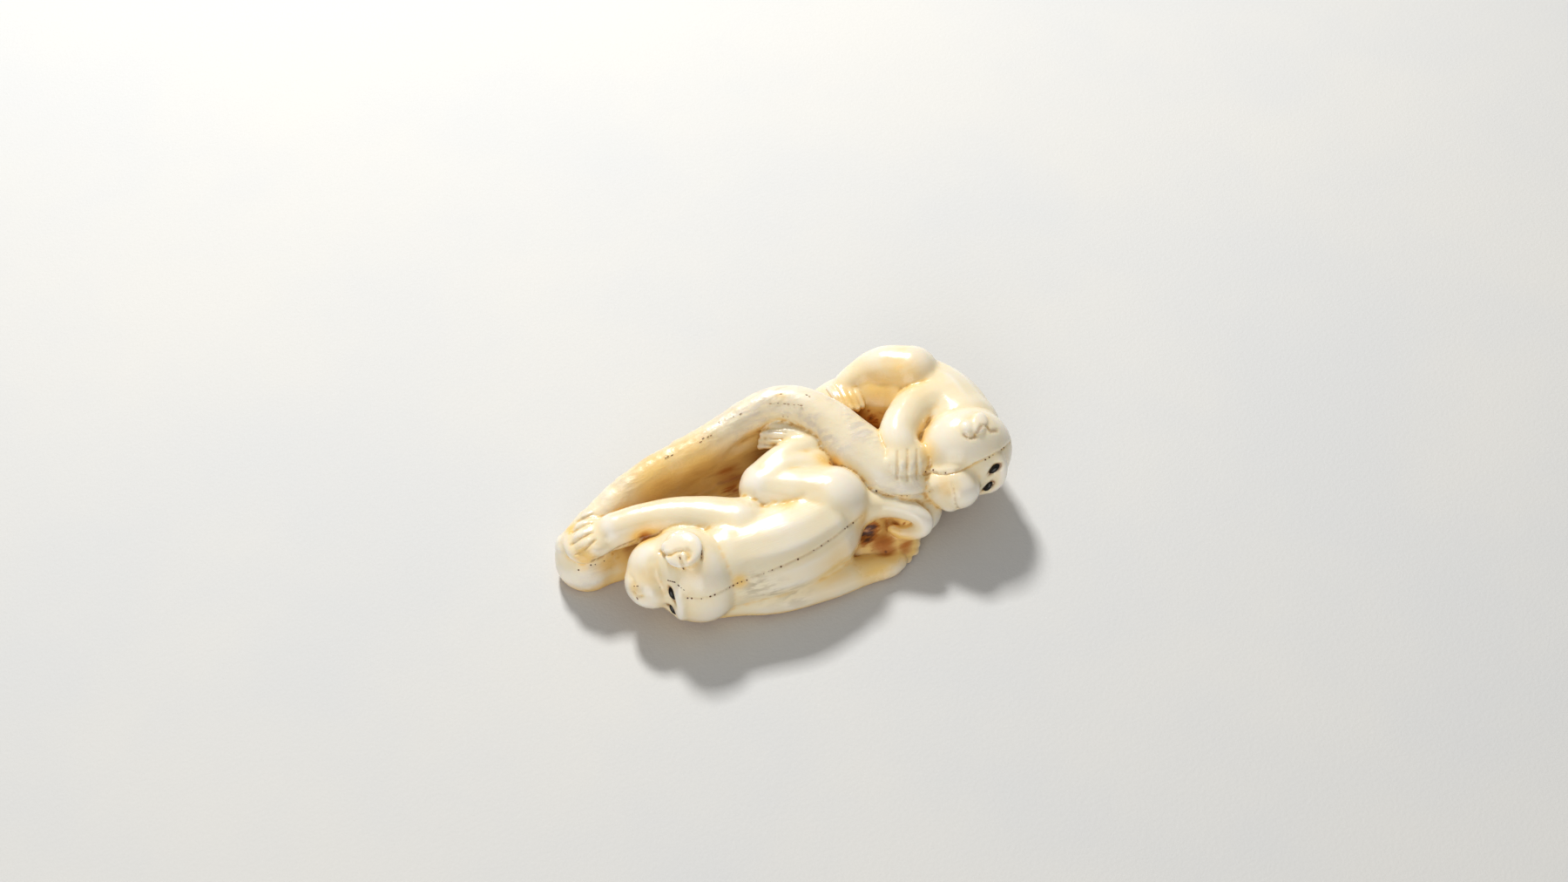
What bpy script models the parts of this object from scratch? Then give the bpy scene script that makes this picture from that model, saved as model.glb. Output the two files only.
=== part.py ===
"""A netsuke carved from one piece of tusk: two monkeys holding on to a hooked bough.

The carving lies on its side, as it would on a table.  +X runs along it, from the
bough's cut end to the far monkey's crown, +Z is up, and the origin is on the table,
under the middle of the box round it.  The near monkey lies along -Y with its head at
-X, and the far one is curled round the +X end.  Their four eyes are dark inlays, each
in a bed of its own.

The figures are free forms, so their pose is given in shares of the carving's length:
one unit is a 57th of it, and a station on a limb is (x, y, z, radius) in those units.
"""

import bmesh
import bpy
from mathutils import Matrix, Quaternion, Vector

# Driving sizes, in metres
CARVING_LENGTH = 0.057
EYE_LENGTH = 0.0020
EYE_WIDTH = 0.0011
EYE_DEPTH = 0.0016
EYE_BED_GAP = 0.0003
FINGER_WIDTH = 0.0012
TOE_WIDTH = 0.0010
EAR_RIM_WIDTH = 0.0014

# The unit of the pose, and the point of the pose that lies at the origin: the forms
# dip a little below it, where the carving is rubbed flat
UNIT = CARVING_LENGTH / 57
POSE_ORIGIN = Vector((-0.9, -0.02, 0.35))

# Grain of the forms when they are kneaded together, and the finished solid's fineness
KNEAD_GRAIN = 0.42 * UNIT
FINISH_GRAIN = 0.30 * UNIT
SOLID_TRIANGLES = 8400


def placed(point):
    """Where a point of the pose lies in the part's own frame."""
    return (Vector(point) - POSE_ORIGIN) * UNIT


class Clay:
    """Eggs and limbs pressed together, to be kneaded into one form."""

    def __init__(self):
        self.eggs = bmesh.new()
        self.limbs = bpy.data.curves.new("limbs", "CURVE")
        self.limbs.dimensions = "3D"
        self.limbs.bevel_depth = UNIT
        self.limbs.bevel_resolution = 3
        self.limbs.resolution_u = 6
        self.limbs.use_fill_caps = True

    def egg(self, centre, radii, facing=(0, 0, 1)):
        """An egg with half-axes radii, the third of them along facing."""
        if not hasattr(radii, "__len__"):
            radii = (radii, radii, radii)
        turn = Vector(facing).to_track_quat("Z", "Y").to_matrix().to_4x4()
        place = Matrix.Translation(placed(centre))
        size = Matrix.Diagonal((*(radius * UNIT for radius in radii), 1))
        bmesh.ops.create_uvsphere(
            self.eggs, u_segments=20, v_segments=12, radius=1, matrix=place @ turn @ size
        )

    def limb(self, *stations):
        """A round limb through stations (x, y, z, radius), with domed ends."""
        spline = self.limbs.splines.new("BEZIER")
        spline.bezier_points.add(len(stations) - 1)
        for point, (x, y, z, radius) in zip(spline.bezier_points, stations):
            point.co = placed((x, y, z))
            point.radius = radius
            point.handle_left_type = "AUTO"
            point.handle_right_type = "AUTO"
        for x, y, z, radius in (stations[0], stations[-1]):
            self.egg((x, y, z), radius)

    def digits(self, first, last, count, width, arch=0.5):
        """Fingers or toes side by side, the first and the last given as (root, tip)."""
        radius = width / 2 / UNIT
        for number in range(count):
            share = number / (count - 1)
            root = Vector(first[0]).lerp(Vector(last[0]), share)
            tip = Vector(first[1]).lerp(Vector(last[1]), share)
            knuckle = root.lerp(tip, 0.55) + Vector((0, 0, arch))
            self.limb((*root, radius), (*knuckle, radius), (*tip, radius * 0.9))

    def add(self, mesh):
        """Press a finished mesh in with the rest."""
        self.eggs.from_mesh(mesh)

    def knead(self, name, grain, passes, swell=0):
        """Everything run together into one skin, smoothed, and swollen to make up for it."""
        if self.limbs.splines:
            self.add(made_real(name, self.limbs))
        mesh = bpy.data.meshes.new(name)
        self.eggs.to_mesh(mesh)
        self.eggs.free()
        return made_real(name, mesh, skin=grain, soften=passes, swell=swell)


def made_real(name, data, skin=0, soften=0, swell=0):
    """The mesh that a curve or a lump of clay becomes, with no object left behind."""
    lump = bpy.data.objects.new(name, data)
    bpy.context.scene.collection.objects.link(lump)
    if skin:
        remesh = lump.modifiers.new("Skin", "REMESH")
        remesh.mode = "VOXEL"
        remesh.voxel_size = skin
    if soften:
        smooth = lump.modifiers.new("Soften", "SMOOTH")
        smooth.factor = 0.5
        smooth.iterations = soften
    if swell:
        plump = lump.modifiers.new("Swell", "DISPLACE")
        plump.mid_level = 0
        plump.strength = swell
    graph = bpy.context.evaluated_depsgraph_get()
    mesh = bpy.data.meshes.new_from_object(lump.evaluated_get(graph))
    bpy.data.objects.remove(lump)
    return mesh


class Head:
    """A monkey's head: its middle, size and bearings, and where things lie on it."""

    def __init__(self, centre, radius, face, crown, flatness, eye_height, eye_spread, slants):
        self.centre = Vector(centre)
        self.radius = radius
        self.face = Vector(face).normalized()
        crown = Vector(crown).normalized()
        self.crown = (crown - crown.dot(self.face) * self.face).normalized()
        self.side = self.face.cross(self.crown)
        self.flatness = flatness
        self.eye_height = eye_height
        self.eye_spread = eye_spread
        self.slants = slants

    def at(self, forward, up, sideways):
        """The point so far towards the face, the crown and the side, in pose units."""
        return self.centre + self.face * forward + self.crown * up + self.side * sideways

    def eye(self, sideways):
        """The middle of the eye on that side (1 or -1)."""
        forward = 0.96 * self.flatness * self.radius - 0.5
        return self.at(forward, self.eye_height, sideways * self.eye_spread / 2)

    def eye_bearings(self, sideways):
        """The directions of that eye's width, length and depth, as columns."""
        turn = Quaternion(self.face, self.slants[sideways])
        return Matrix((turn @ self.crown, turn @ self.side, self.face)).transposed()

    def skull(self, clay):
        """The skull, flat in the face."""
        clay.egg(self.centre, (self.radius, self.radius, self.flatness * self.radius), self.face)

    def brow(self, clay):
        """The ridge that runs over both eyes and down to the temples."""
        height = self.eye_height + 0.19 * self.radius
        front = self.flatness * self.radius
        arch = [(0.62, -0.22, 0.58), (0.86, -0.03, 0.32), (0.93, 0.02, 0)]
        arch += [(forward, up, -side) for forward, up, side in arch[-2::-1]]
        clay.limb(*(
            (*self.at(f * front, height + u * self.radius, s * self.radius), 0.75)
            for f, u, s in arch
        ))

    def ear(self, clay, towards, start, sweep, size=2.0):
        """A round ear on the side of the head: a rim that sweeps from a fat lobe."""
        middle = (self.at(*towards) - self.centre).normalized()
        outward = self.centre + middle * self.radius
        level = self.face.cross(middle).cross(middle).normalized()
        radius = EAR_RIM_WIDTH / 2 / UNIT
        rim = []
        for step in range(7):
            turn = Quaternion(middle, start + sweep * step / 6)
            spoke = turn @ level
            point = outward + spoke * size
            point = self.centre + (point - self.centre).normalized() * (self.radius + 0.1)
            rim.append((*point, radius))
        clay.limb(*rim)
        clay.egg(rim[0][:3], radius * 1.3)


NEAR_HEAD = Head(
    (-16.3, -6.5, 6.2), 6.1, (-0.92, -0.4, 0), (0.4, -0.92, 0), 0.78, 0.9, 2.9, {1: 0.7, -1: 0.7}
)
FAR_HEAD = Head(
    (21.1, -6.6, 9.0), 6.1, (-0.1, -0.99, 0.02), (0.97, -0.1, -0.2), 0.82, 1.6, 3.0,
    {1: -0.7, -1: -0.35},
)


def bough():
    """The bough: a wall behind the near monkey, hooked over its rump, its end blunt."""
    clay = Clay()
    clay.limb(
        (-25.6, 4.0, 2.8, 3.8), (-19, 6.0, 3.4, 3.9), (-12, 8.7, 4.0, 3.5), (-4, 9.4, 4.1, 3.8),
        (3, 8.6, 4.4, 4.0), (8.5, 4.6, 4.8, 4.3), (11, -1, 5.0, 4.3), (12.6, -6, 5.0, 3.8),
        (13.2, -8.6, 4.9, 3.2),
    )
    clay.limb(
        (-19, 7.0, 6.2, 2.6), (-12, 8.9, 7.0, 2.7), (-4, 9.4, 7.8, 2.9), (3, 8.6, 8.6, 3.0),
        (8.0, 4.0, 9.0, 3.0),
    )
    clay.limb(
        (-27.0, 4.6, 5.2, 2.1), (-22.6, 6.2, 6.9, 1.9), (-15.8, 8.0, 8.6, 1.9),
        (-8.2, 7.9, 10.4, 1.9), (-2, 8.6, 11.9, 1.9), (3.1, 7.8, 13.0, 2.1),
        (6.8, 4.0, 12.2, 2.6), (8.8, -0.6, 10.3, 3.4), (10.9, -4.8, 9.0, 3.5),
        (12.4, -7.0, 8.5, 3.0),
    )
    clay.limb(
        (-24.5, 2.9, 2.4, 2.5), (-21, 2.8, 2.2, 2.6), (-15, 2.8, 2.2, 3.1), (-9, 3.0, 2.0, 3.6),
        (-3, 3.2, 2.0, 3.6), (3, 1.6, 2.2, 3.6), (7, -4, 2.4, 2.8),
    )
    clay.limb((3.5, -8.6, 1.9, 1.9), (7.0, -9.9, 2.0, 1.9), (10.6, -10.2, 1.7, 2.1))
    clay.egg((-24.9, 4.2, 4.6), (3.8, 3.2, 3.0))
    clay.egg((12.6, -8.0, 2.4), 2.7)
    return clay.knead("bough", KNEAD_GRAIN, 14, 0.3 * UNIT)


def near_monkey():
    """The monkey that lies on its side along the front, its far arm along the bough."""
    clay = Clay()
    NEAR_HEAD.skull(clay)
    NEAR_HEAD.brow(clay)
    clay.egg(NEAR_HEAD.at(3.9, -3.0, 0), (3.3, 2.9, 3.1), NEAR_HEAD.face)
    clay.egg(NEAR_HEAD.at(2.2, -3.4, 0.6), 3.7)
    clay.limb(
        (-11.5, -6.8, 6.1, 5.3), (-4.6, -7.8, 6.1, 5.6), (1.5, -6.9, 6.3, 5.4),
        (6.1, -7.0, 6.7, 3.9), (8.3, -7.6, 7.1, 2.4),
    )
    clay.limb(
        (6.1, -7.2, 6.9, 3.2), (8.8, -8.3, 7.5, 1.9), (10.5, -9.9, 7.7, 1.25),
        (12.0, -11.5, 7.2, 1.15), (12.4, -12.3, 6.1, 1.1), (11.4, -12.0, 5.0, 1.0),
        (9.9, -11.0, 4.6, 0.8), (9.0, -10.2, 4.9, 0.6),
    )
    clay.limb(
        (-8.8, -4.2, 8.0, 3.9), (-13.5, -0.7, 8.8, 2.8), (-18.4, 1.4, 8.8, 2.3),
        (-22.4, 2.3, 8.3, 2.2),
    )
    clay.egg((-24.6, 2.9, 7.8), (2.6, 2.8, 1.5))
    clay.egg((-26.4, 3.3, 6.8), (2.2, 2.9, 1.2))
    clay.limb((3.1, -5.7, 8.2, 4.5), (-1.0, -2.7, 8.7, 3.8), (-3.8, -0.8, 9.3, 3.0))
    clay.egg((1.2, -1.8, 8.9), (3.6, 3.4, 3.0))
    clay.limb((-3.7, -0.1, 9.5, 2.6), (0.3, 1.4, 10.2, 2.2), (4.0, 2.0, 10.2, 1.9))
    clay.limb((-2.5, -0.7, 9.7, 2.7), (0.4, -0.2, 10.0, 2.4), (2.4, -1.4, 9.6, 2.4))
    clay.limb((4.2, 2.2, 10.4, 1.8), (2.6, 3.7, 10.5, 1.5), (0.8, 4.9, 10.2, 1.4))
    clay.limb(
        (-13.5, -8.2, 3.0, 3.0), (-11.2, -9.0, 2.9, 3.0), (-8.2, -10.7, 2.6, 2.5),
        (-1.0, -12.1, 2.3, 2.2), (5.1, -12.5, 1.8, 1.7), (7.4, -13.0, 1.7, 1.4),
        (8.6, -12.6, 1.6, 1.3),
    )
    return clay.knead("near_monkey", KNEAD_GRAIN, 7, 0.12 * UNIT)


def far_monkey():
    """The monkey curled round the far end, its head in front and its rump behind."""
    clay = Clay()
    FAR_HEAD.skull(clay)
    FAR_HEAD.brow(clay)
    clay.egg(FAR_HEAD.at(4.3, -1.7, -0.9), (3.1, 2.9, 2.9), FAR_HEAD.face)
    clay.egg(FAR_HEAD.at(3.2, -3.6, -1.4), 3.0)
    clay.egg(FAR_HEAD.at(4.9, -3.6, -2.4), 1.6)
    clay.limb(
        (22.6, -3.0, 9.0, 5.0), (22.1, 2.0, 8.6, 5.4), (19.4, 6.0, 7.8, 5.6), (16.8, 7.8, 7.4, 5.2),
    )
    clay.limb(
        (17.0, 8.6, 5.8, 4.4), (13.4, 10.6, 4.8, 3.7), (9.6, 11.0, 4.2, 3.0), (6.2, 12.0, 4.0, 1.9),
        (3.6, 13.0, 3.8, 1.4),
    )
    clay.limb(
        (20.4, 5.8, 12.1, 3.4), (17.6, 8.2, 11.7, 3.0), (14.7, 9.0, 10.8, 2.2),
        (12.2, 8.4, 10.2, 1.7), (11.7, 7.2, 10.0, 1.7),
    )
    clay.limb((22.1, 0.7, 10.6, 3.4), (17.9, 0.6, 11.6, 2.7), (14.8, -1.6, 12.0, 2.4))
    clay.limb(
        (15.4, -0.9, 12.0, 2.4), (13.9, -2.5, 12.0, 2.4), (13.3, -3.9, 11.7, 2.4),
        (13.0, -5.4, 11.1, 2.2),
    )
    clay.egg((12.9, -5.9, 11.3), (3.1, 2.6, 1.9), (0, -0.4, 1))
    return clay.knead("far_monkey", KNEAD_GRAIN, 6, 0.1 * UNIT)


def fine_parts(clay):
    """Ears, fingers and toes, laid crisply on the smooth forms."""
    NEAR_HEAD.ear(clay, (2.2, -0.4, 5.4), 1.7, -4.6)
    FAR_HEAD.ear(clay, (0.9, 1.0, 5.6), 1.7, -4.2)
    FAR_HEAD.ear(clay, (0.9, 1.0, -5.6), 1.7, -4.2)
    clay.digits(
        ((-23.9, 5.3, 8.7), (-25.9, 5.9, 7.8)), ((-24.7, 0.8, 8.7), (-27.4, 1.1, 7.3)),
        5, FINGER_WIDTH, 0.4,
    )
    clay.digits(
        ((2.4, 5.3, 10.8), (0.5, 7.2, 10.2)), ((0.1, 3.6, 10.4), (-1.4, 5.2, 9.7)),
        4, TOE_WIDTH, 0.25,
    )
    clay.digits(
        ((9.0, -11.8, 2.6), (11.8, -11.7, 2.0)), ((6.8, -13.2, 1.9), (8.9, -13.4, 1.0)),
        4, TOE_WIDTH, 0.25,
    )
    clay.digits(
        ((12.6, -5.7, 13.3), (11.4, -8.2, 11.4)), ((14.8, -6.3, 12.7), (13.7, -8.6, 11.0)),
        3, FINGER_WIDTH, 0.2,
    )
    clay.digits(
        ((10.1, 8.1, 12.3), (10.3, 5.6, 11.9)), ((12.6, 7.2, 12.3), (12.5, 4.3, 11.3)),
        4, TOE_WIDTH, 0.25,
    )


def finish(name, colour, roughness):
    """A plain, polished material."""
    material = bpy.data.materials.new(name)
    material.use_nodes = True
    shader = material.node_tree.nodes["Principled BSDF"]
    shader.inputs["Base Color"].default_value = (*colour, 1)
    shader.inputs["Roughness"].default_value = roughness
    shader.inputs["Metallic"].default_value = 0
    return material


def mesh_object(name, mesh):
    """An object made from a bmesh, shaded smooth."""
    data = bpy.data.meshes.new(name)
    mesh.to_mesh(data)
    mesh.free()
    data.shade_smooth()
    obj = bpy.data.objects.new(name, data)
    bpy.context.scene.collection.objects.link(obj)
    return obj


def eye(name, head, sideways, gap=0):
    """An inlaid eye, or with a gap the bed that it is let into."""
    mesh = bmesh.new()
    turn = head.eye_bearings(sideways).to_4x4()
    size = Matrix.Diagonal((EYE_WIDTH / 2 + gap, EYE_LENGTH / 2 + gap, EYE_DEPTH / 2 + gap, 1))
    place = Matrix.Translation(placed(head.eye(sideways)))
    matrix = place @ turn @ size
    bmesh.ops.create_uvsphere(mesh, u_segments=12, v_segments=7, radius=1, matrix=matrix)
    return mesh_object(name, mesh)


def cut(body, cutter):
    """Take the cutter's shape out of the body, and keep the cutter as a guide."""
    cutter.hide_render = True
    cutter.display_type = "WIRE"
    taken = body.modifiers.new(f"Cut {cutter.name}", "BOOLEAN")
    taken.operation = "DIFFERENCE"
    taken.solver = "EXACT"
    taken.object = cutter


def rest_block():
    """A block whose top is the table, to rub the underside flat."""
    side = 2 * CARVING_LENGTH
    mesh = bmesh.new()
    bmesh.ops.create_cube(mesh, size=side, matrix=Matrix.Translation((0, 0, -side / 2)))
    return mesh_object("rest_cutter", mesh)


def carving():
    """The whole carving as one solid, before its eyes' beds and its rest are cut."""
    clay = Clay()
    fine_parts(clay)
    for form in (bough(), near_monkey(), far_monkey()):
        clay.add(form)
    mesh = clay.knead("carving", FINISH_GRAIN, 1)
    body = bpy.data.objects.new("carving", mesh)
    bpy.context.scene.collection.objects.link(body)
    mesh.shade_smooth()
    thin = body.modifiers.new("Thin", "DECIMATE")
    thin.ratio = SOLID_TRIANGLES / (2 * len(mesh.polygons))
    return body


def clear_scene():
    """Remove whatever objects the scene holds."""
    for obj in list(bpy.data.objects):
        bpy.data.objects.remove(obj)


def main():
    """Build the carving with its rest and eye beds cut, and the four eyes."""
    clear_scene()
    body = carving()
    body.data.materials.append(finish("creamy_ivory", (0.82, 0.70, 0.50), 0.35))
    cut(body, rest_block())
    horn = finish("dark_horn", (0.02, 0.015, 0.012), 0.12)
    for monkey, head in (("near", NEAR_HEAD), ("far", FAR_HEAD)):
        for where, sideways in (("upper", 1), ("lower", -1)):
            name = f"eye_{monkey}_{where}"
            eye(name, head, sideways).data.materials.append(horn)
            cut(body, eye(f"{name}_bed_cutter", head, sideways, EYE_BED_GAP))


main()
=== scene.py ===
"""Looks of a netsuke: two monkeys on a hooked bough, carved, stained, polished and inlaid.

The forms are pressed together from eggs and limbs, kneaded into one skin, and then cut,
stained and polished, with shade and highlights painted into the colour. Sizes of the forms
are in millimetres of the pose, which is the carving's own frame moved a little. Lines,
stains, painted shade and digits on the side that the picture shows are placed where the
picture shows them, and cast on to the skin.
"""

import logging
import math
from dataclasses import dataclass, field
from enum import Enum
from typing import Callable, Sequence

import bmesh
import bpy
import numpy as np
from mathutils import Matrix, Quaternion, Vector, noise
from mathutils.bvhtree import BVHTree
from mathutils.kdtree import KDTree


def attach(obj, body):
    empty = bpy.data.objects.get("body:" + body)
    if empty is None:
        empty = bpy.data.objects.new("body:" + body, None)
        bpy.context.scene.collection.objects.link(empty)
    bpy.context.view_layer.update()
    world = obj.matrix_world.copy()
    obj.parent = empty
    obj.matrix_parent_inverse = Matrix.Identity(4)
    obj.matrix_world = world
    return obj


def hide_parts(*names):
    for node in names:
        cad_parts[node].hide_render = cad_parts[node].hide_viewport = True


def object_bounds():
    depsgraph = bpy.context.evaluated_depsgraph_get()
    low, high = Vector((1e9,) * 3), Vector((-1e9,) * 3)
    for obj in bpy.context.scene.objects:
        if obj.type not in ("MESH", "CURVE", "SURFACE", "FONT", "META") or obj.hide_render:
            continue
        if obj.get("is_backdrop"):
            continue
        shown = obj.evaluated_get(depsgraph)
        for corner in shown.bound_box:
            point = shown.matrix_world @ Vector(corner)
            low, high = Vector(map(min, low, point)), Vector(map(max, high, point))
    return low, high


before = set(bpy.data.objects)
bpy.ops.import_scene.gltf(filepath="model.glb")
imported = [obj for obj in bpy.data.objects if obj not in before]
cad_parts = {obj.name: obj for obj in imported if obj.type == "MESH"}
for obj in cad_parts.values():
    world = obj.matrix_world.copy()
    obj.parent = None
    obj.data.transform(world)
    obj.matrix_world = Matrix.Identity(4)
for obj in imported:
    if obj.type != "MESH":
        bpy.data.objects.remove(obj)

Point = Sequence[float]
Place = tuple[float, float]
Colour = tuple[float, float, float, float]

MM = 0.001
POSE_ORIGIN = Vector((-0.9, -0.02, 0.35))
BODY = "root"
LOG = logging.getLogger("netsuke")


def placed(point: Point) -> Vector:
    """Where a point of the pose lies in the carving's own frame, in metres."""
    return (Vector(point) - POSE_ORIGIN) * MM


def posed(point: Vector) -> Vector:
    """Where a point of the carving's own frame, in metres, lies in the pose."""
    return point / MM + POSE_ORIGIN


def between(first: Place, last: Place, share: float) -> Place:
    """The place at a share of the way from one place of the picture to another."""
    return (first[0] + (last[0] - first[0]) * share, first[1] + (last[1] - first[1]) * share)


def link(name: str, data: bpy.types.ID) -> bpy.types.Object:
    """A new object for the data, in the scene.

    Args:
        name: what it is called.
        data: its mesh, curves, light or camera.

    Returns:
        The object.
    """
    obj = bpy.data.objects.new(name, data)
    bpy.context.scene.collection.objects.link(obj)
    return obj


def made_real(obj: bpy.types.Object) -> bpy.types.Mesh:
    """The mesh that an object's modifiers make of it, with the object itself removed.

    Args:
        obj: the object, which is used up.

    Returns:
        The plain mesh.
    """
    graph = bpy.context.evaluated_depsgraph_get()
    mesh = bpy.data.meshes.new_from_object(obj.evaluated_get(graph))
    bpy.data.objects.remove(obj)
    return mesh


def drop_bubbles(mesh: bpy.types.Mesh) -> None:
    """Take out what isn't joined to the mesh's outermost point, such as shut-in bubbles.

    Args:
        mesh: the mesh, which is changed.
    """
    faces = bmesh.new()
    faces.from_mesh(mesh)
    outermost = max(faces.verts, key=lambda vertex: vertex.co.x)
    outermost.tag = True
    waiting = [outermost]
    while waiting:
        vertex = waiting.pop()
        for edge in vertex.link_edges:
            other = edge.other_vert(vertex)
            if not other.tag:
                other.tag = True
                waiting.append(other)
    loose = [vertex for vertex in faces.verts if not vertex.tag]
    bmesh.ops.delete(faces, geom=loose, context="VERTS")
    faces.to_mesh(mesh)
    faces.free()


@dataclass(frozen=True)
class PictureView:
    """The view of the picture, in which places are read off as (across, down) pixels."""

    width: float = 1800
    height: float = 1012
    pixels_per_mm: float = 9.3
    lens: float = 50
    sensor: float = 36
    elevation: float = 48.8
    turn: float = 27
    reference: Point = (0, -0.26, 7.0)
    reference_place: Place = (905, 560)

    @property
    def pixel(self) -> float:
        """The size of a pixel on the sensor, in millimetres."""
        return self.sensor / self.width

    def matrix(self) -> Matrix:
        """The camera's matrix in the carving's frame.

        Returns:
            The matrix whose columns are the camera's right, up and back, and its place.
        """
        rise = math.radians(self.elevation)
        depth = self.lens / (self.pixels_per_mm * self.pixel)
        across = (self.reference_place[0] - self.width / 2) * self.pixel * depth / self.lens
        down = (self.reference_place[1] - self.height / 2) * self.pixel * depth / self.lens
        right = Vector((1, 0, 0))
        ahead = Vector((0, math.cos(rise), -math.sin(rise)))
        up = Vector((0, math.sin(rise), math.cos(rise)))
        place = Vector(self.reference) - depth * ahead - across * right + down * up
        turn = Matrix.Rotation(-math.radians(self.turn), 3, "Z")
        bearings = turn @ Matrix((right, up, -ahead)).transposed()
        return Matrix.Translation(placed(turn @ place)) @ bearings.to_4x4()

    def ray(self, place: Place) -> tuple[Vector, Vector]:
        """The ray through a place of the picture.

        Args:
            place: where it is in the picture, in pixels across and down.

        Returns:
            The ray's start and its direction, in the carving's frame.
        """
        matrix = self.matrix()
        slope = Vector((
            (place[0] - self.width / 2) * self.pixel,
            (self.height / 2 - place[1]) * self.pixel,
            -self.lens,
        ))
        return matrix.to_translation(), (matrix.to_3x3() @ slope).normalized()

    def at_height(self, place: Place, height: float) -> Vector:
        """The point of the pose that is seen at a place of the picture, at a height.

        Args:
            place: where it is seen, in pixels across and down.
            height: its height in the pose, in millimetres.

        Returns:
            The point, in the pose.
        """
        start, way = self.ray(place)
        reach = ((height - POSE_ORIGIN.z) * MM - start.z) / way.z
        return posed(start + way * reach)

    def make(self) -> bpy.types.Object:
        """The scene's camera.

        Returns:
            The camera's object.
        """
        camera = bpy.data.cameras.new("picture_camera")
        camera.lens = self.lens
        camera.sensor_width = self.sensor
        camera.clip_start = 0.01
        obj = link("picture_camera", camera)
        obj.matrix_world = self.matrix()
        bpy.context.scene.camera = obj
        return obj


VIEW = PictureView()


class Clay:
    """Eggs and limbs pressed together, to be kneaded into one form."""

    def __init__(self) -> None:
        """Start with nothing on the board."""
        self.eggs = bmesh.new()
        self.limbs = bpy.data.curves.new("limbs", "CURVE")
        self.limbs.dimensions = "3D"
        self.limbs.bevel_depth = MM
        self.limbs.bevel_resolution = 5
        self.limbs.resolution_u = 8
        self.limbs.use_fill_caps = True

    def egg(self, centre: Point, radii: Point | float, facing: Point = (0, 0, 1)) -> None:
        """Press on an egg.

        Args:
            centre: its middle, in the pose.
            radii: its half-axes, the third along facing, or its radius if it is round.
            facing: the direction of its third axis.
        """
        if not hasattr(radii, "__len__"):
            radii = (radii, radii, radii)
        turn = Vector(facing).to_track_quat("Z", "Y").to_matrix()
        size = Matrix.Diagonal((*(radius * MM for radius in radii), 1))
        place = Matrix.Translation(placed(centre)) @ turn.to_4x4() @ size
        bmesh.ops.create_uvsphere(
            self.eggs, u_segments=32, v_segments=20, radius=1, matrix=place
        )

    def limb(self, *stations: Point) -> None:
        """Press on a round limb through stations (x, y, z, radius), with domed ends.

        Args:
            stations: places in the pose, each with the limb's radius there.
        """
        spline = self.limbs.splines.new("BEZIER")
        spline.bezier_points.add(len(stations) - 1)
        for point, (x, y, z, radius) in zip(spline.bezier_points, stations):
            point.co = placed((x, y, z))
            point.radius = radius
            point.handle_left_type = "AUTO"
            point.handle_right_type = "AUTO"
        for x, y, z, radius in (stations[0], stations[-1]):
            self.egg((x, y, z), radius)

    def add(self, mesh: bpy.types.Mesh) -> None:
        """Press in a finished form with the rest."""
        self.eggs.from_mesh(mesh)

    def knead(self, name: str, grain: float, passes: int, swell: float = 0) -> bpy.types.Mesh:
        """Run everything together into one skin.

        Args:
            name: what the form is called.
            grain: the skin's fineness, in millimetres.
            passes: how often it is smoothed.
            swell: how far it is swollen again afterwards, in millimetres.

        Returns:
            The form's mesh.
        """
        if self.limbs.splines:
            self.add(made_real(link(name, self.limbs)))
        mesh = bpy.data.meshes.new(name)
        self.eggs.to_mesh(mesh)
        self.eggs.free()
        lump = link(name, mesh)
        remesh = lump.modifiers.new("Skin", "REMESH")
        remesh.mode = "VOXEL"
        remesh.voxel_size = grain * MM
        smooth = lump.modifiers.new("Soften", "SMOOTH")
        smooth.factor = 0.5
        smooth.iterations = passes
        if swell:
            plump = lump.modifiers.new("Swell", "DISPLACE")
            plump.mid_level = 0
            plump.strength = swell * MM
        return made_real(lump)


@dataclass(frozen=True)
class Head:
    """A monkey's head: its middle, size and bearings, and where things lie on it."""

    centre: Point
    radius: float
    face: Point
    crown: Point
    flatness: float
    eye_height: float
    eye_spread: float
    brow_radius: float = 0.75

    @property
    def ahead(self) -> Vector:
        """The direction that the face looks in."""
        return Vector(self.face).normalized()

    @property
    def up(self) -> Vector:
        """The direction of the crown, square to the face."""
        crown = Vector(self.crown).normalized()
        return (crown - crown.dot(self.ahead) * self.ahead).normalized()

    @property
    def side(self) -> Vector:
        """The direction of the side that is up as the carving lies."""
        return self.ahead.cross(self.up)

    def at(self, forward: float, up: float, sideways: float) -> Vector:
        """The point so far towards the face, the crown and the side, in the pose."""
        return (Vector(self.centre) + self.ahead * forward + self.up * up
                + self.side * sideways)

    def eye(self, sideways: int) -> Vector:
        """The middle of the eye on that side (1 or -1), in the pose."""
        forward = 0.96 * self.flatness * self.radius - 0.5
        return self.at(forward, self.eye_height, sideways * self.eye_spread / 2)

    def skull(self, clay: Clay) -> None:
        """Press on the skull, flat in the face."""
        clay.egg(self.centre, (self.radius, self.radius, self.flatness * self.radius), self.face)

    def brow(self, clay: Clay) -> None:
        """Press on the ridge that runs over both eyes and down to the temples.

        Args:
            clay: what it is pressed in with.
        """
        height = self.eye_height + 0.19 * self.radius
        front = self.flatness * self.radius
        arch = [(0.62, -0.22, 0.58), (0.86, -0.03, 0.32), (0.93, 0.02, 0)]
        arch += [(forward, up, -side) for forward, up, side in arch[-2::-1]]
        stations = []
        for forward, up, side in arch:
            point = self.at(forward * front, height + up * self.radius, side * self.radius)
            stations.append((*point, self.brow_radius))
        clay.limb(*stations)


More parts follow.
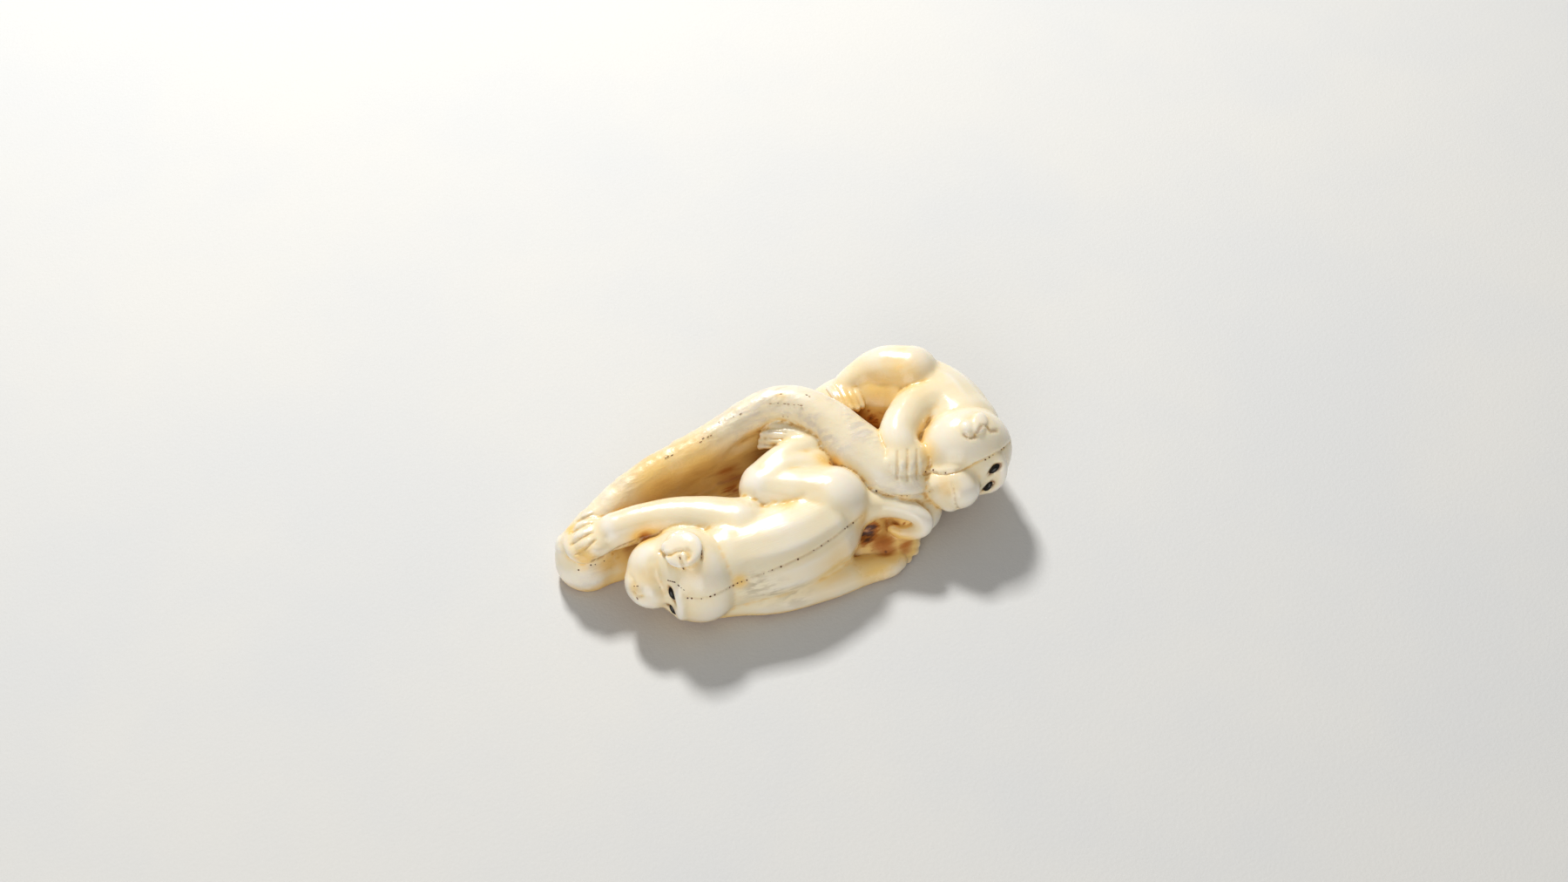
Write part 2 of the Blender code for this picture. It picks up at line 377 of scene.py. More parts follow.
NEAR_HEAD = Head((-16.3, -6.5, 6.2), 6.1, (-0.92, -0.4, 0), (0.4, -0.92, 0), 0.78, 0.9, 2.9)
FAR_HEAD = Head((21.1, -6.6, 9.0), 6.1, (-0.1, -0.99, 0.02), (0.97, -0.1, -0.2), 0.82, 1.6, 3.0)


@dataclass
class Bough:
    """The bough: a wall behind the near monkey, hooked over its rump, its end blunt.

    Its outside is lumpy as far as smooth_from, and less and less so over smooth_over.
    """

    lump_height: float = 0.22
    lump_size: float = 1.5
    chip_size: float = 0.6
    smooth_from: float = -2.0
    smooth_over: float = 6.0
    grain: float = 0.34
    passes: int = 20
    swell: float = 0.3
    wall: Sequence[Point] = (
        (-25.6, 4.0, 2.8, 3.8), (-19, 6.0, 3.4, 3.9), (-12, 8.7, 4.0, 3.5), (-4, 9.4, 4.1, 3.8),
        (3, 8.6, 4.4, 4.0), (8.5, 4.6, 4.8, 4.3), (11, -1, 5.0, 4.3), (12.6, -6, 5.0, 3.8),
        (13.2, -8.6, 4.9, 3.2),
    )
    crest: Sequence[Point] = (
        (-19, 7.0, 6.2, 2.6), (-12, 8.9, 7.0, 2.7), (-4, 9.4, 7.8, 2.9), (3, 8.6, 8.6, 3.0),
        (8.0, 4.0, 9.0, 3.0),
    )
    band: Sequence[Point] = (
        (-27.0, 4.6, 5.2, 2.1), (-22.6, 6.2, 6.9, 1.9), (-15.8, 8.0, 8.6, 1.9),
        (-8.2, 7.9, 10.4, 1.9), (-2, 8.6, 11.9, 1.9), (3.1, 7.8, 13.0, 2.1),
        (6.8, 4.0, 12.2, 2.6), (8.8, -0.6, 10.3, 3.4), (10.9, -4.8, 9.0, 3.5),
        (12.4, -7.0, 8.5, 3.0),
    )
    lining: Sequence[Point] = (
        (-20.0, 6.8, 6.3, 2.1), (-14.0, 8.2, 7.6, 2.2), (-8.2, 8.5, 8.8, 2.3), (-2, 9.2, 9.6, 2.1),
        (3.1, 8.3, 10.6, 1.9),
    )
    floor: Sequence[Point] = (
        (-24.5, 2.9, 2.4, 2.5), (-21, 2.8, 2.2, 2.6), (-15, 2.8, 2.2, 3.1), (-9, 3.0, 2.0, 3.6),
        (-3, 3.2, 2.0, 3.6), (3, 1.6, 2.2, 3.6), (7, -4, 2.4, 2.8),
    )
    sill: Sequence[Point] = (
        (3.5, -8.6, 1.9, 1.9), (7.0, -9.9, 2.0, 1.9), (10.6, -10.2, 1.7, 2.1),
    )

    def form(self) -> bpy.types.Mesh:
        """The bough on its own.

        Returns:
            The bough's mesh.
        """
        clay = Clay()
        for run in (self.wall, self.crest, self.band, self.lining, self.floor, self.sill):
            clay.limb(*run)
        clay.egg((-24.9, 4.2, 4.6), (3.8, 3.2, 3.0))
        clay.egg((12.6, -8.0, 2.4), 2.7)
        clay.egg((5.6, 0.2, 7.6), 2.5)
        clay.egg((7.4, -6.8, 3.8), 2.3)
        mesh = clay.knead("bough", self.grain, self.passes, self.swell)
        self.roughen(mesh)
        return mesh

    def roughen(self, mesh: bpy.types.Mesh) -> None:
        """Leave the bough's outside lumpy, as the blade left it.

        Args:
            mesh: the bough's mesh, which is changed.
        """
        outside = Vector((0, 0.8, 0.45))
        smooth = self.smooth_from + self.smooth_over
        normals = [vertex.normal.copy() for vertex in mesh.vertices]
        for vertex, normal in zip(mesh.vertices, normals):
            place = vertex.co / MM
            share = max(0.0, normal.dot(outside))
            share *= min(1.0, max(0.0, (smooth - place.x) / self.smooth_over))
            lumps = noise.noise(place / self.lump_size) + 0.5 * noise.noise(place / self.chip_size)
            vertex.co += normal * (self.lump_height * MM * share * (lumps - 0.25))


@dataclass
class NearMonkey:
    """The monkey that lies on its side along the front, its far arm along the bough."""

    grain: float = 0.28
    passes: int = 14
    swell: float = 0.12
    trunk: Sequence[Point] = (
        (-11.5, -6.8, 6.1, 5.3), (-4.6, -7.8, 6.1, 5.6), (1.5, -6.9, 6.3, 5.4),
        (5.9, -6.6, 7.1, 2.95), (8.3, -7.5, 7.4, 1.95),
    )
    tail: Sequence[Point] = (
        (6.4, -6.9, 7.3, 2.5), (8.8, -8.2, 7.6, 1.65), (10.5, -9.9, 7.7, 1.25),
        (12.0, -11.5, 7.2, 1.15), (12.4, -12.3, 6.1, 1.1), (11.4, -12.0, 5.0, 1.0),
        (9.9, -11.0, 4.6, 0.8), (9.0, -10.2, 4.9, 0.6),
    )
    arm: Sequence[Point] = (
        (-8.8, -4.2, 8.0, 3.9), (-13.5, -0.7, 8.8, 2.8), (-18.4, 1.4, 8.8, 2.3),
        (-22.4, 2.3, 8.3, 2.2),
    )
    thigh: Sequence[Point] = ((3.1, -5.7, 8.2, 4.5), (-1.0, -2.7, 8.7, 3.8), (-3.8, -0.8, 9.3, 3.0))
    calf: Sequence[Point] = ((-3.7, -0.1, 9.5, 2.6), (0.3, 1.4, 10.2, 2.2), (4.0, 2.0, 10.2, 1.9))
    shin: Sequence[Point] = ((-2.5, -0.7, 9.7, 2.7), (0.4, -0.2, 10.0, 2.4), (2.4, -1.4, 9.6, 2.4))
    foot: Sequence[Point] = ((4.2, 2.2, 10.4, 1.8), (2.6, 4.1, 10.7, 1.6), (0.9, 5.2, 10.5, 1.45))
    lower_leg: Sequence[Point] = (
        (-13.5, -8.2, 3.0, 3.0), (-11.2, -9.0, 2.9, 3.0), (-8.2, -10.7, 2.6, 2.5),
        (-1.0, -12.1, 2.3, 2.2), (5.1, -12.5, 1.8, 1.7), (7.4, -13.0, 1.7, 1.4),
        (8.6, -12.6, 1.6, 1.3),
    )

    def form(self) -> bpy.types.Mesh:
        """The near monkey on its own, without its fine parts.

        Returns:
            The monkey's mesh.
        """
        clay = Clay()
        NEAR_HEAD.skull(clay)
        NEAR_HEAD.brow(clay)
        clay.egg(NEAR_HEAD.at(3.9, -3.0, 0), (3.3, 2.9, 3.1), NEAR_HEAD.face)
        clay.egg(NEAR_HEAD.at(2.2, -3.4, 0.6), 3.7)
        runs = (self.trunk, self.tail, self.arm, self.thigh, self.calf, self.shin, self.foot,
                self.lower_leg)
        for run in runs:
            clay.limb(*run)
        clay.egg((-24.6, 2.9, 7.8), (2.6, 2.8, 1.5))
        clay.egg((-26.4, 3.3, 6.8), (2.2, 2.9, 1.2))
        clay.egg((1.2, -1.8, 8.9), (3.6, 3.4, 3.0))
        clay.egg((2.6, -0.4, 9.0), (3.2, 2.8, 2.8))
        return clay.knead("near_monkey", self.grain, self.passes, self.swell)


@dataclass
class FarMonkey:
    """The monkey curled round the far end, its head in front and its rump behind."""

    grain: float = 0.28
    passes: int = 12
    swell: float = 0.1
    back: Sequence[Point] = (
        (22.6, -3.0, 9.0, 5.0), (22.1, 2.0, 8.6, 5.4), (19.4, 6.0, 7.8, 5.6), (16.8, 7.8, 7.4, 5.2),
    )
    hidden_leg: Sequence[Point] = (
        (17.0, 8.6, 5.8, 4.4), (13.4, 10.6, 4.8, 3.7), (9.6, 11.0, 4.2, 3.0), (6.2, 12.0, 4.0, 1.9),
        (3.6, 13.0, 3.8, 1.4),
    )
    thigh: Sequence[Point] = (
        (20.4, 5.8, 12.1, 3.4), (17.6, 8.2, 11.7, 3.0), (14.7, 9.0, 10.8, 2.2),
        (12.2, 8.4, 10.2, 1.7), (11.7, 7.2, 10.0, 1.7),
    )
    arm: Sequence[Point] = ((22.1, 0.7, 10.6, 3.4), (17.9, 0.6, 11.6, 2.7), (14.8, -1.6, 12.0, 2.4))
    forearm: Sequence[Point] = (
        (15.4, -0.9, 12.0, 2.4), (13.9, -2.5, 12.0, 2.4), (13.3, -3.9, 11.7, 2.4),
        (13.0, -5.4, 11.1, 2.2),
    )

    def form(self) -> bpy.types.Mesh:
        """The far monkey on its own, without its fine parts.

        Returns:
            The monkey's mesh.
        """
        clay = Clay()
        FAR_HEAD.skull(clay)
        FAR_HEAD.brow(clay)
        clay.egg(FAR_HEAD.at(4.7, -2.7, -0.9), (2.6, 2.4, 2.6), FAR_HEAD.face)
        clay.egg(FAR_HEAD.at(3.6, -2.8, -0.8), 3.0)
        clay.egg(FAR_HEAD.at(3.3, -3.0, 0.1), 2.3)
        clay.egg(FAR_HEAD.at(3.2, -3.6, -1.4), 3.0)
        clay.egg(FAR_HEAD.at(4.9, -3.6, -2.4), 1.6)
        for run in (self.back, self.hidden_leg, self.thigh, self.arm, self.forearm):
            clay.limb(*run)
        clay.egg((12.9, -5.9, 11.3), (3.1, 2.6, 1.9), (0, -0.4, 1))
        return clay.knead("far_monkey", self.grain, self.passes, self.swell)


class Skin:
    """The carving's surface as arrays, to be cut into and stained."""

    def __init__(self, mesh: bpy.types.Mesh) -> None:
        """Read the mesh's points, edges and faces.

        Args:
            mesh: the carving's mesh.
        """
        self.mesh = mesh
        count = len(mesh.vertices)
        self.points = np.empty(count * 3)
        mesh.vertices.foreach_get("co", self.points)
        self.points = self.points.reshape(-1, 3)
        self.edges = np.empty(len(mesh.edges) * 2, int)
        mesh.edges.foreach_get("vertices", self.edges)
        self.edges = self.edges.reshape(-1, 2)
        self.degree = np.maximum(np.bincount(self.edges.ravel(), minlength=count), 1)
        self.read_normals()
        faces = bmesh.new()
        faces.from_mesh(mesh)
        self.tree = BVHTree.FromBMesh(faces)
        faces.free()

    def read_normals(self) -> None:
        """Read the points' normals off the mesh as it is now."""
        self.normals = np.empty(len(self.mesh.vertices) * 3)
        self.mesh.vertices.foreach_get("normal", self.normals)
        self.normals = self.normals.reshape(-1, 3)

    def write_points(self) -> None:
        """Put the moved points back into the mesh, and read its normals again."""
        self.mesh.vertices.foreach_set("co", self.points.ravel())
        self.mesh.update()
        self.read_normals()

    def write_mask(self, name: str, channels: Sequence[np.ndarray]) -> None:
        """Keep four masks on the mesh as one colour attribute.

        Args:
            name: the attribute's name.
            channels: its red, green, blue and alpha, a value for each point.
        """
        attribute = self.mesh.attributes.new(name, "FLOAT_COLOR", "POINT")
        attribute.data.foreach_set("color", np.stack(channels, axis=1).ravel())

    def spread(self, values: np.ndarray, passes: int) -> np.ndarray:
        """Values evened out with their neighbours' so many times.

        Args:
            values: a value for each point.
            passes: how many times.

        Returns:
            The new values.
        """
        first, second = self.edges.T
        count = len(values)
        for _ in range(passes):
            total = (np.bincount(first, values[second], count)
                     + np.bincount(second, values[first], count))
            values = 0.5 * values + 0.5 * total / self.degree
        return values

    def bulge(self, passes: int) -> np.ndarray:
        """How far each point stands proud of its surroundings, in millimetres."""
        smooth = np.stack([self.spread(axis, passes) for axis in self.points.T], axis=1)
        return np.einsum("ij,ij->i", self.points - smooth, self.normals) / MM

    def seen(self, place: Place) -> tuple[Vector, Vector] | None:
        """The point and normal of the skin at a place of the picture, or None.

        Args:
            place: where it is seen, in pixels across and down.

        Returns:
            The point and its normal, or None where nothing is seen.
        """
        start, way = VIEW.ray(place)
        point, normal, _, _ = self.tree.ray_cast(start, way)
        return None if point is None else (point, normal)

    def traced(self, places: Sequence[Place], step: float = 2.0) -> list[tuple[Vector, Vector]]:
        """Points and normals of the skin along a line through places of the picture.

        Args:
            places: the line's corners, in pixels across and down.
            step: the distance between the points, in pixels.

        Returns:
            The points with their normals, where the line meets the skin.
        """
        found = []
        for first, last in zip(places, places[1:]):
            count = max(1, round(math.dist(first, last) / step))
            found += [self.seen(between(first, last, number / count)) for number in range(count)]
        found.append(self.seen(places[-1]))
        return [hit for hit in found if hit is not None]

    def openness(self, samples: int = 12000, rays: int = 40, reach: float = 9.0) -> np.ndarray:
        """How much of the sky over each point is free of the carving and the table.

        Args:
            samples: how many of the points are looked from.
            rays: how many ways each of them looks.
            reach: how far it looks, in millimetres.

        Returns:
            A share from 0, shut in, to 1, open, for each point.
        """
        chosen = np.linspace(0, len(self.points) - 1, samples).astype(int)
        turn = np.arange(rays) * math.pi * (3 - math.sqrt(5))
        rise = np.sqrt((np.arange(rays) + 0.5) / rays)
        flat = np.sqrt(1 - rise ** 2)
        ways = [Vector(way) for way in zip(flat * np.cos(turn), flat * np.sin(turn), rise)]
        lift, softness = 0.02 * MM, 0.05 * MM
        nearby = KDTree(samples)
        shares = np.empty(samples)
        for number, index in enumerate(chosen):
            normal = Vector(self.normals[index])
            point = Vector(self.points[index]) + normal * lift
            nearby.insert(point, number)
            lean = normal.to_track_quat("Z", "Y")
            free = 0
            for way in ways:
                look = lean @ way
                if look.z < 0 and point.z < -look.z * reach * MM:
                    continue
                free += self.tree.ray_cast(point, look, reach * MM)[0] is None
            shares[number] = free / rays
        nearby.balance()
        values = np.empty(len(self.points))
        for index, point in enumerate(self.points):
            near = [(shares[number], 1 / (gap + softness))
                    for _, number, gap in nearby.find_n(point, 3)]
            total = sum(share * weight for share, weight in near)
            values[index] = total / sum(weight for _, weight in near)
        return self.spread(values, 4)


@dataclass(frozen=True)
class Path:
    """A line on the skin, as points with the skin's normals there."""

    points: np.ndarray
    normals: np.ndarray

    def around(self, spots: np.ndarray, reach: float) -> tuple[np.ndarray, ...]:
        """Where spots lie as seen from the line.

        Args:
            spots: the points to look at.
            reach: how far from the line they may lie, in millimetres.

        Returns:
            The indices of the spots in reach, their distance from the line in millimetres
            (less than 0 on its right), and the line's normals there.
        """
        low = self.points.min(0) - reach * MM
        high = self.points.max(0) + reach * MM
        near = np.flatnonzero(np.all((spots > low) & (spots < high), axis=1))
        spot = spots[near]
        best = np.full(len(near), np.inf)
        side = np.ones(len(near))
        way = np.zeros((len(near), 3))
        for first, last, normal in zip(self.points, self.points[1:], self.normals):
            line = last - first
            share = np.clip((spot - first) @ line / max(line @ line, 1e-18), 0, 1)
            off = spot - first - share[:, None] * line
            gap = np.linalg.norm(off, axis=1)
            closer = gap < best
            best[closer] = gap[closer]
            side[closer] = np.sign(off[closer] @ np.cross(normal, line) + 1e-18)
            way[closer] = normal
        return near, side * best / MM, way


@dataclass(frozen=True)
class Cut:
    """A line cut into the skin, read off in the picture."""

    places: Sequence[Place]
    width: float = 0.22
    depth: float = 0.12
    ink: float = 0.5
    ledge: float = 0.0
    ledge_reach: float = 1.1
    detail_reach: float = 0.7

    def path(self, skin: Skin) -> Path | None:
        """The line as it lies on the skin, or None where it misses the carving.

        Args:
            skin: the surface that it is cut into.

        Returns:
            The line, or None.
        """
        hits = skin.traced(self.places)
        if len(hits) < 2:
            LOG.warning("a cut at %s misses the carving", self.places[0])
            return None
        return Path(np.array([point for point, _ in hits]), np.array([way for _, way in hits]))

    def press(self, skin: Skin, path: Path) -> None:
        """Press the line into the skin, with a ledge on its right if it has one.

        Args:
            skin: the surface that it is cut into.
            path: the line on it.
        """
        reach = max(3 * self.width, 2 * self.ledge_reach if self.ledge else 0)
        near, gap, way = path.around(skin.points, reach)
        facing = np.einsum("ij,ij->i", skin.normals[near], way) > 0.1
        sink = self.depth * np.exp(-((gap / self.width) ** 2))
        sink += self.ledge * (gap < 0) * np.exp(-((gap / self.ledge_reach) ** 2))
        skin.points[near] -= way * (sink * facing * MM)[:, None]

    def darken(self, skin: Skin, path: Path, ink: np.ndarray, detail: np.ndarray) -> None:
        """Let dark stain into the line, and mark where the skin has to stay fine.

        Args:
            skin: the surface that is stained.
            path: the line on it.
            ink: the mask of dark stain, which grows.
            detail: the mask of where the skin stays fine, which grows.
        """
        near, gap, way = path.around(skin.points, 1.0)
        facing = np.einsum("ij,ij->i", skin.normals[near], way) > 0.1
        dark = self.ink * facing * np.exp(-((gap / (0.8 * self.width)) ** 2))
        ink[near] = np.maximum(ink[near], dark)
        detail[near] = np.maximum(detail[near], facing * (abs(gap) < self.detail_reach))


class Tone(Enum):
    """What a patch of stain, with painted shade in amber and brown, adds to the skin: the channel of the
    mask it is kept in.
    """

    AMBER = 0
    BROWN = 1
    GREY = 2


@dataclass(frozen=True)
class StainAndShadePatch:
    """A soft-edged patch of stain round a place of the picture, of painted shade too where it darkens a
    recess.
    """

    tone: Tone
    place: Place
    size: float
    strength: float

    def apply(self, skin: Skin, masks: Sequence[np.ndarray]) -> None:
        """Deepen the stain's mask round its place.

        Args:
            skin: the surface that is stained.
            masks: the masks of amber, brown and grey, one of which grows.
        """
        hit = skin.seen(self.place)
        if hit is None:
            LOG.warning("a stain at %s misses the carving", self.place)
            return
        gap = np.linalg.norm(skin.points - np.array(hit[0]), axis=1) / (self.size * MM)
        mask = masks[self.tone.value]
        np.maximum(mask, self.strength * np.exp(-(gap ** 2)), out=mask)


@dataclass(frozen=True)
class Digit:
    """A finger or a toe laid on the skin from its root to its tip, as the picture shows.

    Its profile says, for shares of its length, how deep it lies and how thick it is there, both
    in shares of its radius.
    """

    root: Place
    tip: Place
    radius: float
    sunk: float = 0.3
    profile: Sequence[Point] = ((0, 1.0, 0.9), (0.35, 0.2, 1), (0.7, 0, 1), (1, 0.5, 0.92))

    def lay(self, skin: Skin, clay: Clay) -> None:
        """Press the digit on.

        Args:
            skin: the rough skin that it lies on.
            clay: what it is pressed in with.
        """
        stations = []
        for share, deep, size in self.profile:
            hit = skin.seen(between(self.root, self.tip, share))
            if hit is None:
                continue
            point = hit[0] - hit[1] * (self.sunk + deep * self.radius) * MM
            stations.append((*posed(point), self.radius * size))
        if len(stations) > 1:
            clay.limb(*stations)


@dataclass(frozen=True)
class FreeDigit:
    """A finger or a toe that stands free, from place and height to place and height."""

    root: Place
    root_height: float
    tip: Place
    tip_height: float
    radius: float
    arch: float = 0.25

    def lay(self, skin: Skin, clay: Clay) -> None:
        """Press the digit on, arched a little.

        Args:
            skin: the rough skin, which it stands free of; it is not used.
            clay: what it is pressed in with.
        """
        root = VIEW.at_height(self.root, self.root_height)
        tip = VIEW.at_height(self.tip, self.tip_height)
        knuckle = root.lerp(tip, 0.6) + Vector((0, 0, self.arch))
        clay.limb((*root, self.radius), (*knuckle, self.radius), (*tip, self.radius * 0.9))


@dataclass(frozen=True)
class Ear:
    """A flat round ear: a disc with a rolled rim and a fat lobe."""

    middle: Place
    disc: tuple[float, float, float]
    rim: Sequence[Place]
    lobe: Place
    rim_radius: float = 0.5
    lobe_radius: float = 0.8
    sunk: float = 0.05

    def lay(self, skin: Skin, clay: Clay) -> None:
        """Press the ear on to the head.

        Args:
            skin: the rough skin that it lies on.
            clay: what it is pressed in with.
        """
        point, normal = skin.seen(self.middle)
        clay.egg(posed(point), self.disc, normal)
        hits = [skin.seen(place) for place in (*self.rim, self.lobe)]
        *rim, lobe = [posed(point - normal * self.sunk * MM) for point, normal in hits]
        clay.limb(*((*point, self.rim_radius) for point in rim))
        clay.egg(lobe, self.lobe_radius)


NEAR_HAND = (
    Digit((684, 586), (666, 595), 0.9, 0.66), Digit((682, 595), (659, 604), 0.95, 0.68),
    Digit((683, 606), (656, 618), 1.0, 0.7), Digit((687, 616), (659, 631), 1.0, 0.7),
    Digit((694, 625), (671, 639), 0.95, 0.66),
)
FAR_HAND = (
    Digit((1036, 517), (1036, 545), 0.75, 0.58), Digit((1047, 517), (1047.5, 546), 0.75, 0.58),
    Digit((1057, 518), (1057, 543), 0.65, 0.5), Digit((1018, 517), (1019, 540), 1.3, 1.15),
)
NEAR_TOES = (
    FreeDigit((903, 490.5), 11.8, (878, 491), 11.3, 0.5),
    FreeDigit((899, 498.5), 11.7, (875.5, 498.5), 11.0, 0.5),
    FreeDigit((895, 506), 11.2, (873.5, 505.5), 10.3, 0.48),
    FreeDigit((890, 512.5), 10.4, (872.5, 512.5), 9.8, 0.45),
)
FAR_TOES = (
    FreeDigit((952, 446), 11.0, (962, 463), 11.2, 0.45),
    FreeDigit((957, 444), 11.2, (969, 467), 11.2, 0.48),
    FreeDigit((963, 442), 11.3, (977, 469), 11.1, 0.48),
    FreeDigit((970, 441), 11.3, (984, 469), 10.8, 0.48),
    FreeDigit((977, 441), 11.2, (990, 466), 10.6, 0.45),
)
LOWER_TOES = (
    FreeDigit((1030, 630), 2.6, (1052, 624), 2.0, 0.62),
    FreeDigit((1026, 637), 2.4, (1050, 632), 1.4, 0.66),
    FreeDigit((1022, 645), 2.2, (1042, 641), 1.0, 0.66),
    FreeDigit((1016, 652), 1.8, (1030, 652), 1.0, 0.62),
)
NEAR_EAR = Ear(
    (784, 631), (2.35, 2.35, 0.7),
    ((767, 626), (769, 618), (776, 612.5), (785, 611.5), (795, 615.5), (801, 623), (803, 633),
     (800, 642), (793, 648)),
    (766.5, 628), rim_radius=0.5, lobe_radius=0.95, sunk=0.22,
)
FAR_EAR = Ear(
    (1125, 485), (1.7, 1.0, 0.35),
    ((1113, 483), (1120, 478.5), (1129, 478.5), (1137, 483)),
    (1111, 490), rim_radius=0.95, lobe_radius=1.4, sunk=1.0,
)

BACK_LINE = (
    (789, 686), (802, 688), (815, 685), (831, 678), (849, 668), (869, 661), (880, 657), (900, 649),
    (925, 637), (936, 631), (957, 617), (975, 603),
)
BAND_LINE = ((1006, 563), (1019, 568), (1036, 569), (1052, 569), (1062, 566))

CUTS = (
    Cut(((680, 590), (662, 598)), 0.15, 0.16, 0.55),
    Cut(((679, 600), (668, 604), (656, 611)), 0.15, 0.18, 0.7),
    Cut(((680, 611), (667, 617), (655, 625)), 0.15, 0.18, 0.7),
    Cut(((683, 620), (672, 629), (660, 636)), 0.15, 0.18, 0.7),
    Cut(((883, 495), (893, 495.5), (902, 496)), 0.15, 0.12, 0.6),
    Cut(((877, 503), (887, 503.5), (897, 503.5)), 0.15, 0.12, 0.6),
    Cut(((876, 510), (885, 510.5), (893, 510.5)), 0.15, 0.12, 0.6),
    Cut(((680, 644), (696, 636), (712, 627), (730, 620), (738, 616)), 0.18, 0.1, 0.9),
    Cut(((757, 633), (762, 637), (769, 637), (776, 633), (783, 632), (789, 634), (790, 640)),
        0.24, 0.26, 0.45),
    Cut(((789, 630), (793, 634), (792, 639), (789, 643)), 0.22, 0.14, 0.3),
    Cut(((750, 646), (752, 656), (756, 668), (763, 682)), 0.8, 0.2, 0),
    Cut(((780, 639), (782, 645), (785, 652)), 0.2, 0.15, 0.6),
    Cut(((806, 634), (806, 641)), 0.2, 0.15, 0.9),
    Cut(((1107, 499), (1113, 503), (1119, 502), (1122, 496), (1127, 488), (1133, 489),
         (1138, 495), (1145, 494)), 0.28, 0.12, 0.8),
    Cut(((1062, 543), (1070, 541), (1077, 543), (1087, 543), (1098, 541), (1109, 537),
         (1122, 531), (1135, 525), (1152, 515), (1162, 506)), 0.22, 0.14, 0.5, 0.18),
    Cut(((1097, 579), (1100, 584), (1106, 586.5), (1114, 584), (1120, 580), (1124, 573)),
        0.18, 0.12, 0.7),
    Cut(((1094, 555), (1095, 565), (1097, 577)), 0.2, 0.05, 0.3),
    Cut(((727, 679), (731, 685), (737, 684)), 0.18, 0.16, 0.5),
    Cut(((728, 669), (726, 664), (723, 660)), 0.3, 0.1, 0.1),
    Cut((*BACK_LINE, (990, 593)), 0.18, 0.07, 0.35),
    Cut((*BAND_LINE, (1069, 562)), 0.22, 0.1, 0.35, 0.12),
    Cut(((1030, 518), (1030, 549)), 0.16, 0.1, 0.4),
    Cut(((1042, 516), (1042, 551)), 0.16, 0.1, 0.4),
    Cut(((1053, 516), (1053, 549)), 0.16, 0.1, 0.4),
    Cut(((850, 573), (865, 581), (885, 581), (905, 576), (922, 569)), 0.5, 0.09, 0.08),
)

# Brown patches in holes, pits and the pocket's deep end, and amber patches under the far knee, under the
# near heel and along the lower leg, are painted shade as well as stain; grey patches are a smudge and
# the rim's stain.
STAIN_AND_SHADE_PATCHES = tuple(
    StainAndShadePatch(tone, (across, down), size, strength)
    for tone, patches in {
        Tone.AMBER: (
            (760, 555, 4.5, 0.65), (800, 540, 5.0, 0.65), (838, 545, 4.0, 0.8),
            (720, 572, 3.0, 0.3), (742, 618, 1.8, 0.9), (722, 630, 2.4, 0.8), (700, 644, 2.2, 0.5),
            (672, 640, 1.6, 0.6), (655, 606, 1.0, 0.5), (745, 660, 1.8, 0.25),
            (728, 675, 1.0, 0.35), (795, 655, 1.6, 0.25), (960, 650, 4.0, 0.35),
            (1000, 640, 3.6, 0.6), (1015, 625, 2.8, 1.0), (1040, 626, 2.2, 0.85),
            (756, 612, 1.6, 0.5), (1010, 450, 3.5, 0.55), (1035, 432, 4.0, 0.42),
            (975, 458, 2.4, 0.5), (945, 528, 1.5, 0.5), (957, 533, 1.4, 0.7), (1060, 495, 2.0, 0.4),
            (1065, 520, 1.6, 0.4), (849, 667, 1.1, 0.55), (905, 580, 1.4, 0.4),
            (990, 595, 1.6, 0.35), (1085, 560, 1.6, 0.35),
        ),
        Tone.BROWN: (
            (840, 563, 2.2, 0.9), (1002, 482, 1.3, 1.2), (998, 612, 2.2, 1.35),
            (728, 629, 1.3, 0.7), (741, 619, 0.9, 0.9), (1017, 633, 0.6, 1.1),
            (1004, 628, 1.3, 0.8), (1038, 601, 0.4, 1.1), (874, 517, 0.5, 1.1),
            (998, 472, 0.6, 0.9), (655, 610, 0.4, 0.9), (703, 636, 0.35, 1.0), (953, 532, 0.4, 1.1),
            (897, 452, 0.8, 0.35), (710, 641, 0.9, 0.6), (670, 648, 0.8, 0.5),
        ),
        Tone.GREY: (
            (868, 672, 1.7, 0.8), (888, 680, 1.9, 0.7), (913, 681, 1.7, 0.7), (849, 667, 0.7, 0.6),
            (725, 548, 1.8, 0.7), (745, 530, 1.8, 0.8), (768, 518, 1.6, 0.8), (790, 508, 1.5, 0.7),
            (815, 497, 1.5, 0.6), (842, 479, 1.5, 0.5), (885, 455, 2.0, 0.6), (905, 450, 1.6, 0.4),
        ),
    }.items()
    for across, down, size, strength in patches
)


